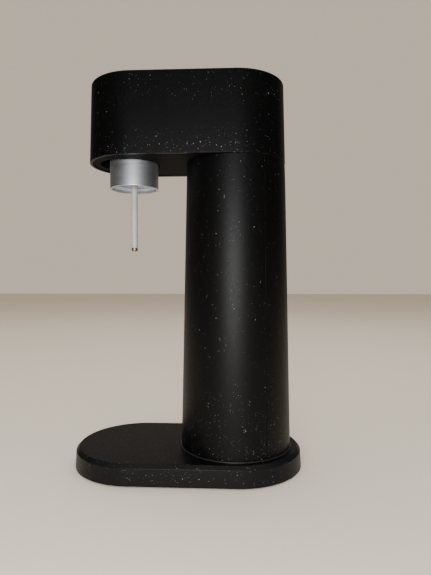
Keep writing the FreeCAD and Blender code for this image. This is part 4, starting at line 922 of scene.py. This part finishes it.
class CARBONATOR_OT_collar(bpy.types.Operator):
    """Collar sleeve, and the ring inside it with the bottle's helical thread"""
    bl_idname = "carbonator.collar"
    bl_label = "Collar"

    def execute(self, context):
        bottom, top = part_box("collar")
        radius = top.x
        inner = radius - 2.0 * MM
        profile = soft_outline(
            [(inner, bottom.z), (radius, bottom.z), (radius, top.z), (inner, top.z)],
            [0.5 * MM, 0.8 * MM, 0.4 * MM, 0.3 * MM], 8)
        fit(skin("collar_sleeve", [turned(profile, COLLAR_Y, 256)]), "collar_aluminium",
            "bottle_holder", "collar")
        self.thread(context.scene.carbonator_sizes)
        return {"FINISHED"}

    def thread(self, sizes):
        """Ring whose inner wall carries the thread: at angle a and height z it stands in by the
        thread's depth times a rounded ridge in (z / pitch - a / full turn), which dies away at
        both ends."""
        bottom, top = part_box("thread_insert")
        root, count = top.x - 1.3 * MM, 56
        mouth, fade = 0.4 * MM, 2 * MM
        levels = np.linspace(top.z - mouth, bottom.z + mouth, count)
        outer = np.array([(root + INNER_EDGE, bottom.z), (top.x, bottom.z), (top.x, top.z),
                          (root + INNER_EDGE, top.z)])
        inner = np.stack([np.full(count, root), levels], 1)
        grid = turned(np.concatenate([outer, inner]), COLLAR_Y, 180)
        angle = np.arctan2(grid[..., 0], COLLAR_Y - grid[..., 1])
        z = grid[..., 2]
        phase = np.mod((z - bottom.z) / sizes.thread_pitch - angle / FULL_TURN, 1.0)
        ridge = np.clip(1.6 - 4.4 * np.abs(phase - 0.5), 0.0, 1.0)
        ends = np.clip((z - bottom.z) / fade, 0, 1) * np.clip((top.z - z) / fade, 0, 1)
        depth = sizes.thread_depth * ridge * ends
        depth[:len(outer)] = 0.0
        radius = np.hypot(grid[..., 0], COLLAR_Y - grid[..., 1]) - depth
        grid[..., 0] = radius * np.sin(angle)
        grid[..., 1] = COLLAR_Y - radius * np.cos(angle)
        fit(skin("thread_ring", [grid]), "holder_white", "bottle_holder", "thread_insert")


class CARBONATOR_OT_nozzle(bpy.types.Operator):
    """Nozzle tube with its bore, and the small jet in its end"""
    bl_idname = "carbonator.nozzle"
    bl_label = "Nozzle"

    def execute(self, context):
        bottom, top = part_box("nozzle_tube")
        tube = rod_profile(top.x, bottom.z, top.z, 0.35 * MM, 1.5 * MM)
        fit(skin("gas_nozzle", [turned(tube, COLLAR_Y, 64)]), "tube_grey", "bottle_holder",
            "nozzle_tube")
        end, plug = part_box("nozzle_tip")
        jet, neck = 0.5 * MM, 1.45 * MM
        tip = soft_outline([(jet, end.z), (plug.x, end.z), (plug.x, bottom.z),
                            (neck, bottom.z), (neck, plug.z), (jet, plug.z)],
                           [0.2 * MM, 0.9 * MM] + [0.1 * MM] * 4, 8)
        fit(skin("gas_jet", [turned(tip, COLLAR_Y, 64)]), "tip_brass", "bottle_holder",
            "nozzle_tip")
        return {"FINISHED"}


class CARBONATOR_OT_cylinder(bpy.types.Operator):
    """Gas cylinder: dished base, straight side, round shoulder and neck"""
    bl_idname = "carbonator.cylinder"
    bl_label = "Gas cylinder"

    def execute(self, context):
        bottom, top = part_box("gas_cylinder")
        r, z0, z1 = top.x, bottom.z, top.z
        neck, mouth, heel, shoulder = 13.5 * MM, 8.2 * MM, 10 * MM, z1 - 44 * MM
        share = np.linspace(0.0, 1.0, 10)
        low_turn = share * math.pi / 2.0
        high_turn = np.linspace(0.0, math.pi / 2.0, 28)[1:]
        dish = [19 * MM * share, z0 + 4 * MM * (1.0 - share ** 2) ** 0.8]
        corner = [r - heel + heel * np.sin(low_turn), z0 + heel * (1 - np.cos(low_turn))]
        dome = [neck + (r - neck) * np.cos(high_turn) ** 0.9, shoulder + 38 * MM * np.sin(high_turn)]
        top_end = [(neck, z1 - 5.5 * MM), (neck, z1 - 0.4 * MM), (neck - 0.4 * MM, z1),
                   (mouth, z1), (mouth, z1 - 8 * MM), (0.0, z1 - 8 * MM)]
        profile = np.concatenate([np.stack(part, 1) for part in (dish, corner, dome)] + [top_end])
        fit(skin("gas_bottle", [turned(profile, COLUMN_Y, 160)]), "cylinder_paint",
            "gas_cylinder", "gas_cylinder")
        return {"FINISHED"}


class CARBONATOR_OT_springs(bpy.types.Operator):
    """Coil springs of the button, the plunger, the cylinder's pin and the relief valve"""
    bl_idname = "carbonator.springs"
    bl_label = "Springs"

    def execute(self, context):
        for row in (("button_springs", "stand", "button_press", 0.55, 7.0, 8.0),
                    ("plunger_spring", "stand", "plunger_slide", 0.40, 2.5, 2.05),
                    ("pin_spring", "gas_cylinder", "pin_slide", 0.35, 6.0, 2.05),
                    ("relief_spring", "bottle_holder", "relief_lift", 0.40, 3.0, 1.5)):
            self.spring(*row)
        return {"FINISHED"}

    def spring(self, node, body, joint, wire, turns, travel):
        """One node's springs, with wire in millimetres; travel and joint are not used.  The coils
        span their node's box at one fixed length.  Their fixed end is the top end in the relief
        valve, and the bottom end elsewhere."""
        wire, travel, slack = wire * MM, travel * MM, 0.04 * MM
        x, y, outer = spring_place(node)
        z0, z1 = low(node).z, high(node).z
        sides = (0.0,) if x < wire else (-x, x)
        grids = [coil(place, y, z0 + slack, z1 - slack, outer - wire, wire, turns)
                 for place in sides]
        piece = fit(skin(node + "_coils", grids, closed_rows=False), "spring_steel", body, node)
        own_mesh(piece)


class CARBONATOR_OT_hose(bpy.types.Operator):
    """Gas hose from the valve block to the bottle holder, laid in one fixed bend"""
    bl_idname = "carbonator.hose"
    bl_label = "Gas hose"

    def execute(self, context):
        bottom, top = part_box("gas_hose")
        path = self.route(bottom, top, top.x)
        piece = skin("gas_hose_bend", [tube_along(path, top.x - 0.05 * MM)], closed_rows=False)
        fit(piece, "hose_rubber", None, "gas_hose")
        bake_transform(piece)
        return {"FINISHED"}

    def route(self, bottom, top, radius):
        """Centre line: a level run off each barb, joined by two equal arcs that drop from one
        level to the other.  On the first arc the place is y - R sin a, z - R (1 - cos a)."""
        start, end = top.y - 12 * MM, bottom.y + 10 * MM
        upper, lower = top.z - radius, bottom.z + radius
        half = math.atan2(upper - lower, start - end)
        bend = (start - end) / (2.0 * math.sin(2.0 * half))
        a = np.linspace(0.0, 2.0 * half, 24)
        first = np.stack([start - bend * np.sin(a), upper - bend * (1 - np.cos(a))], 1)
        second = np.stack([end + bend * np.sin(a), lower + bend * (1 - np.cos(a))], 1)[::-1]
        share = np.arange(LEVEL_POINTS) / LEVEL_POINTS
        run_in = np.stack([top.y + (start - top.y) * share, np.full(LEVEL_POINTS, upper)], 1)
        run_out = np.stack([bottom.y + (end - bottom.y) * share, np.full(LEVEL_POINTS, lower)], 1)
        line = np.concatenate([run_in, first, second[1:], run_out[::-1]])
        return np.column_stack([np.zeros(len(line)), line])


# ---------------------------------------------------------------- stage
class CARBONATOR_OT_stage(bpy.types.Operator):
    """Pale floor, soft studio light and the camera"""
    bl_idname = "carbonator.stage"
    bl_label = "Stage"

    def execute(self, context):
        stage = context.scene.carbonator_stage
        self.floor(stage)
        self.light("key_light", stage.key, (0.30, 0.20), (0.66, 0.0, 0.24), (0.0, 0.03, 0.22))
        self.light("top_light", stage.top, (2.6, 2.6), (-0.30, 0.0, 2.0), (0.0, 0.0, 0.1))
        self.sky(context.scene, stage)
        self.camera(context.scene, stage)
        return {"FINISHED"}

    def floor(self, stage):
        """Large flat floor, faintly clouded."""
        reach = 6.0
        corners = [(x, y, 0.0) for y in (-reach, reach) for x in (-reach, reach)]
        mesh = bpy.data.meshes.new("studio_floor")
        mesh.from_pydata(corners, [], [(0, 1, 3, 2)])
        floor = bpy.data.objects.new("studio_floor", mesh)
        bpy.context.scene.collection.objects.link(floor)
        mesh.materials.append(moulded("Studio floor", stage.floor, 0.75, 60.0, 0.02, cloud=0.2))

    def light(self, name, power, size, place, target):
        """Rectangular soft light aimed at a point."""
        data = bpy.data.lights.new(name, "AREA")
        data.shape = "RECTANGLE"
        data.size, data.size_y = size
        data.energy = power
        lamp = bpy.data.objects.new(name, data)
        lamp.visible_camera = False
        lamp.location = place
        lamp.rotation_euler = (Vector(target) - Vector(place)).to_track_quat("-Z", "Y").to_euler()
        bpy.context.scene.collection.objects.link(lamp)

    def sky(self, scene, stage):
        """Even pale surroundings that light the floor fully.  Glossy faces show them dimly, but
        brighter where they lie behind the object, towards -X."""
        world = bpy.data.worlds.new("Studio")
        world.use_nodes = True
        tree = world.node_tree
        place = add(tree, "ShaderNodeTexCoord").outputs["Generated"]
        split = add(tree, "ShaderNodeSeparateXYZ", Vector=place)
        shown = remap(tree, split.outputs["X"], -0.5, -0.95, stage.fill, stage.back)
        glossy = add(tree, "ShaderNodeLightPath").outputs["Is Glossy Ray"]
        less = math_node(tree, "SUBTRACT", shown, 1.0)
        feed(tree, tree.nodes["Background"], {
            "Color": stage.backdrop, "Strength": math_node(tree, "MULTIPLY_ADD", glossy, less, 1.0)})
        scene.world = world

    def camera(self, scene, stage):
        """Camera beside the object, level with the middle of the column."""
        data = bpy.data.cameras.new("camera")
        data.sensor_fit = "VERTICAL"
        data.sensor_height = 36.0
        data.lens = stage.lens
        camera = bpy.data.objects.new("camera", data)
        azimuth, pitch = math.radians(92.88), math.radians(-0.99)
        camera.location = (0.5137, 0.0560, 0.2026)
        camera.rotation_euler = (math.pi / 2.0 + pitch, 0.0, azimuth)
        scene.collection.objects.link(camera)
        scene.camera = camera


PIECES = (CARBONATOR_OT_dress, CARBONATOR_OT_foot, CARBONATOR_OT_seat, CARBONATOR_OT_column,
          CARBONATOR_OT_cover, CARBONATOR_OT_head, CARBONATOR_OT_button, CARBONATOR_OT_collar,
          CARBONATOR_OT_nozzle, CARBONATOR_OT_cylinder, CARBONATOR_OT_springs, CARBONATOR_OT_hose,
          CARBONATOR_OT_stage)


class CARBONATOR_PT_panel(bpy.types.Panel):
    """Lists the pieces in the 3D view's sidebar."""
    bl_idname = "CARBONATOR_PT_panel"
    bl_label = "Soda carbonator"
    bl_space_type = "VIEW_3D"
    bl_region_type = "UI"
    bl_category = "Carbonator"

    def draw(self, context):
        for piece in PIECES:
            self.layout.operator(piece.bl_idname)


CLASSES = (CarbonatorSizes, CarbonatorFinish, CarbonatorStage, *PIECES, CARBONATOR_PT_panel)


def register():
    """Registers the classes and hangs the settings on the scene."""
    for item in CLASSES:
        bpy.utils.register_class(item)
    bpy.types.Scene.carbonator_sizes = PointerProperty(type=CarbonatorSizes)
    bpy.types.Scene.carbonator_finish = PointerProperty(type=CarbonatorFinish)
    bpy.types.Scene.carbonator_stage = PointerProperty(type=CarbonatorStage)


def unregister():
    """Takes the settings and classes away again."""
    del bpy.types.Scene.carbonator_stage
    del bpy.types.Scene.carbonator_finish
    del bpy.types.Scene.carbonator_sizes
    for item in reversed(CLASSES):
        bpy.utils.unregister_class(item)


def main():
    """Makes every piece and the stage."""
    register()
    for piece in PIECES:
        group, name = piece.bl_idname.split(".")
        getattr(getattr(bpy.ops, group), name)()


if __name__ == "__main__":
    main()
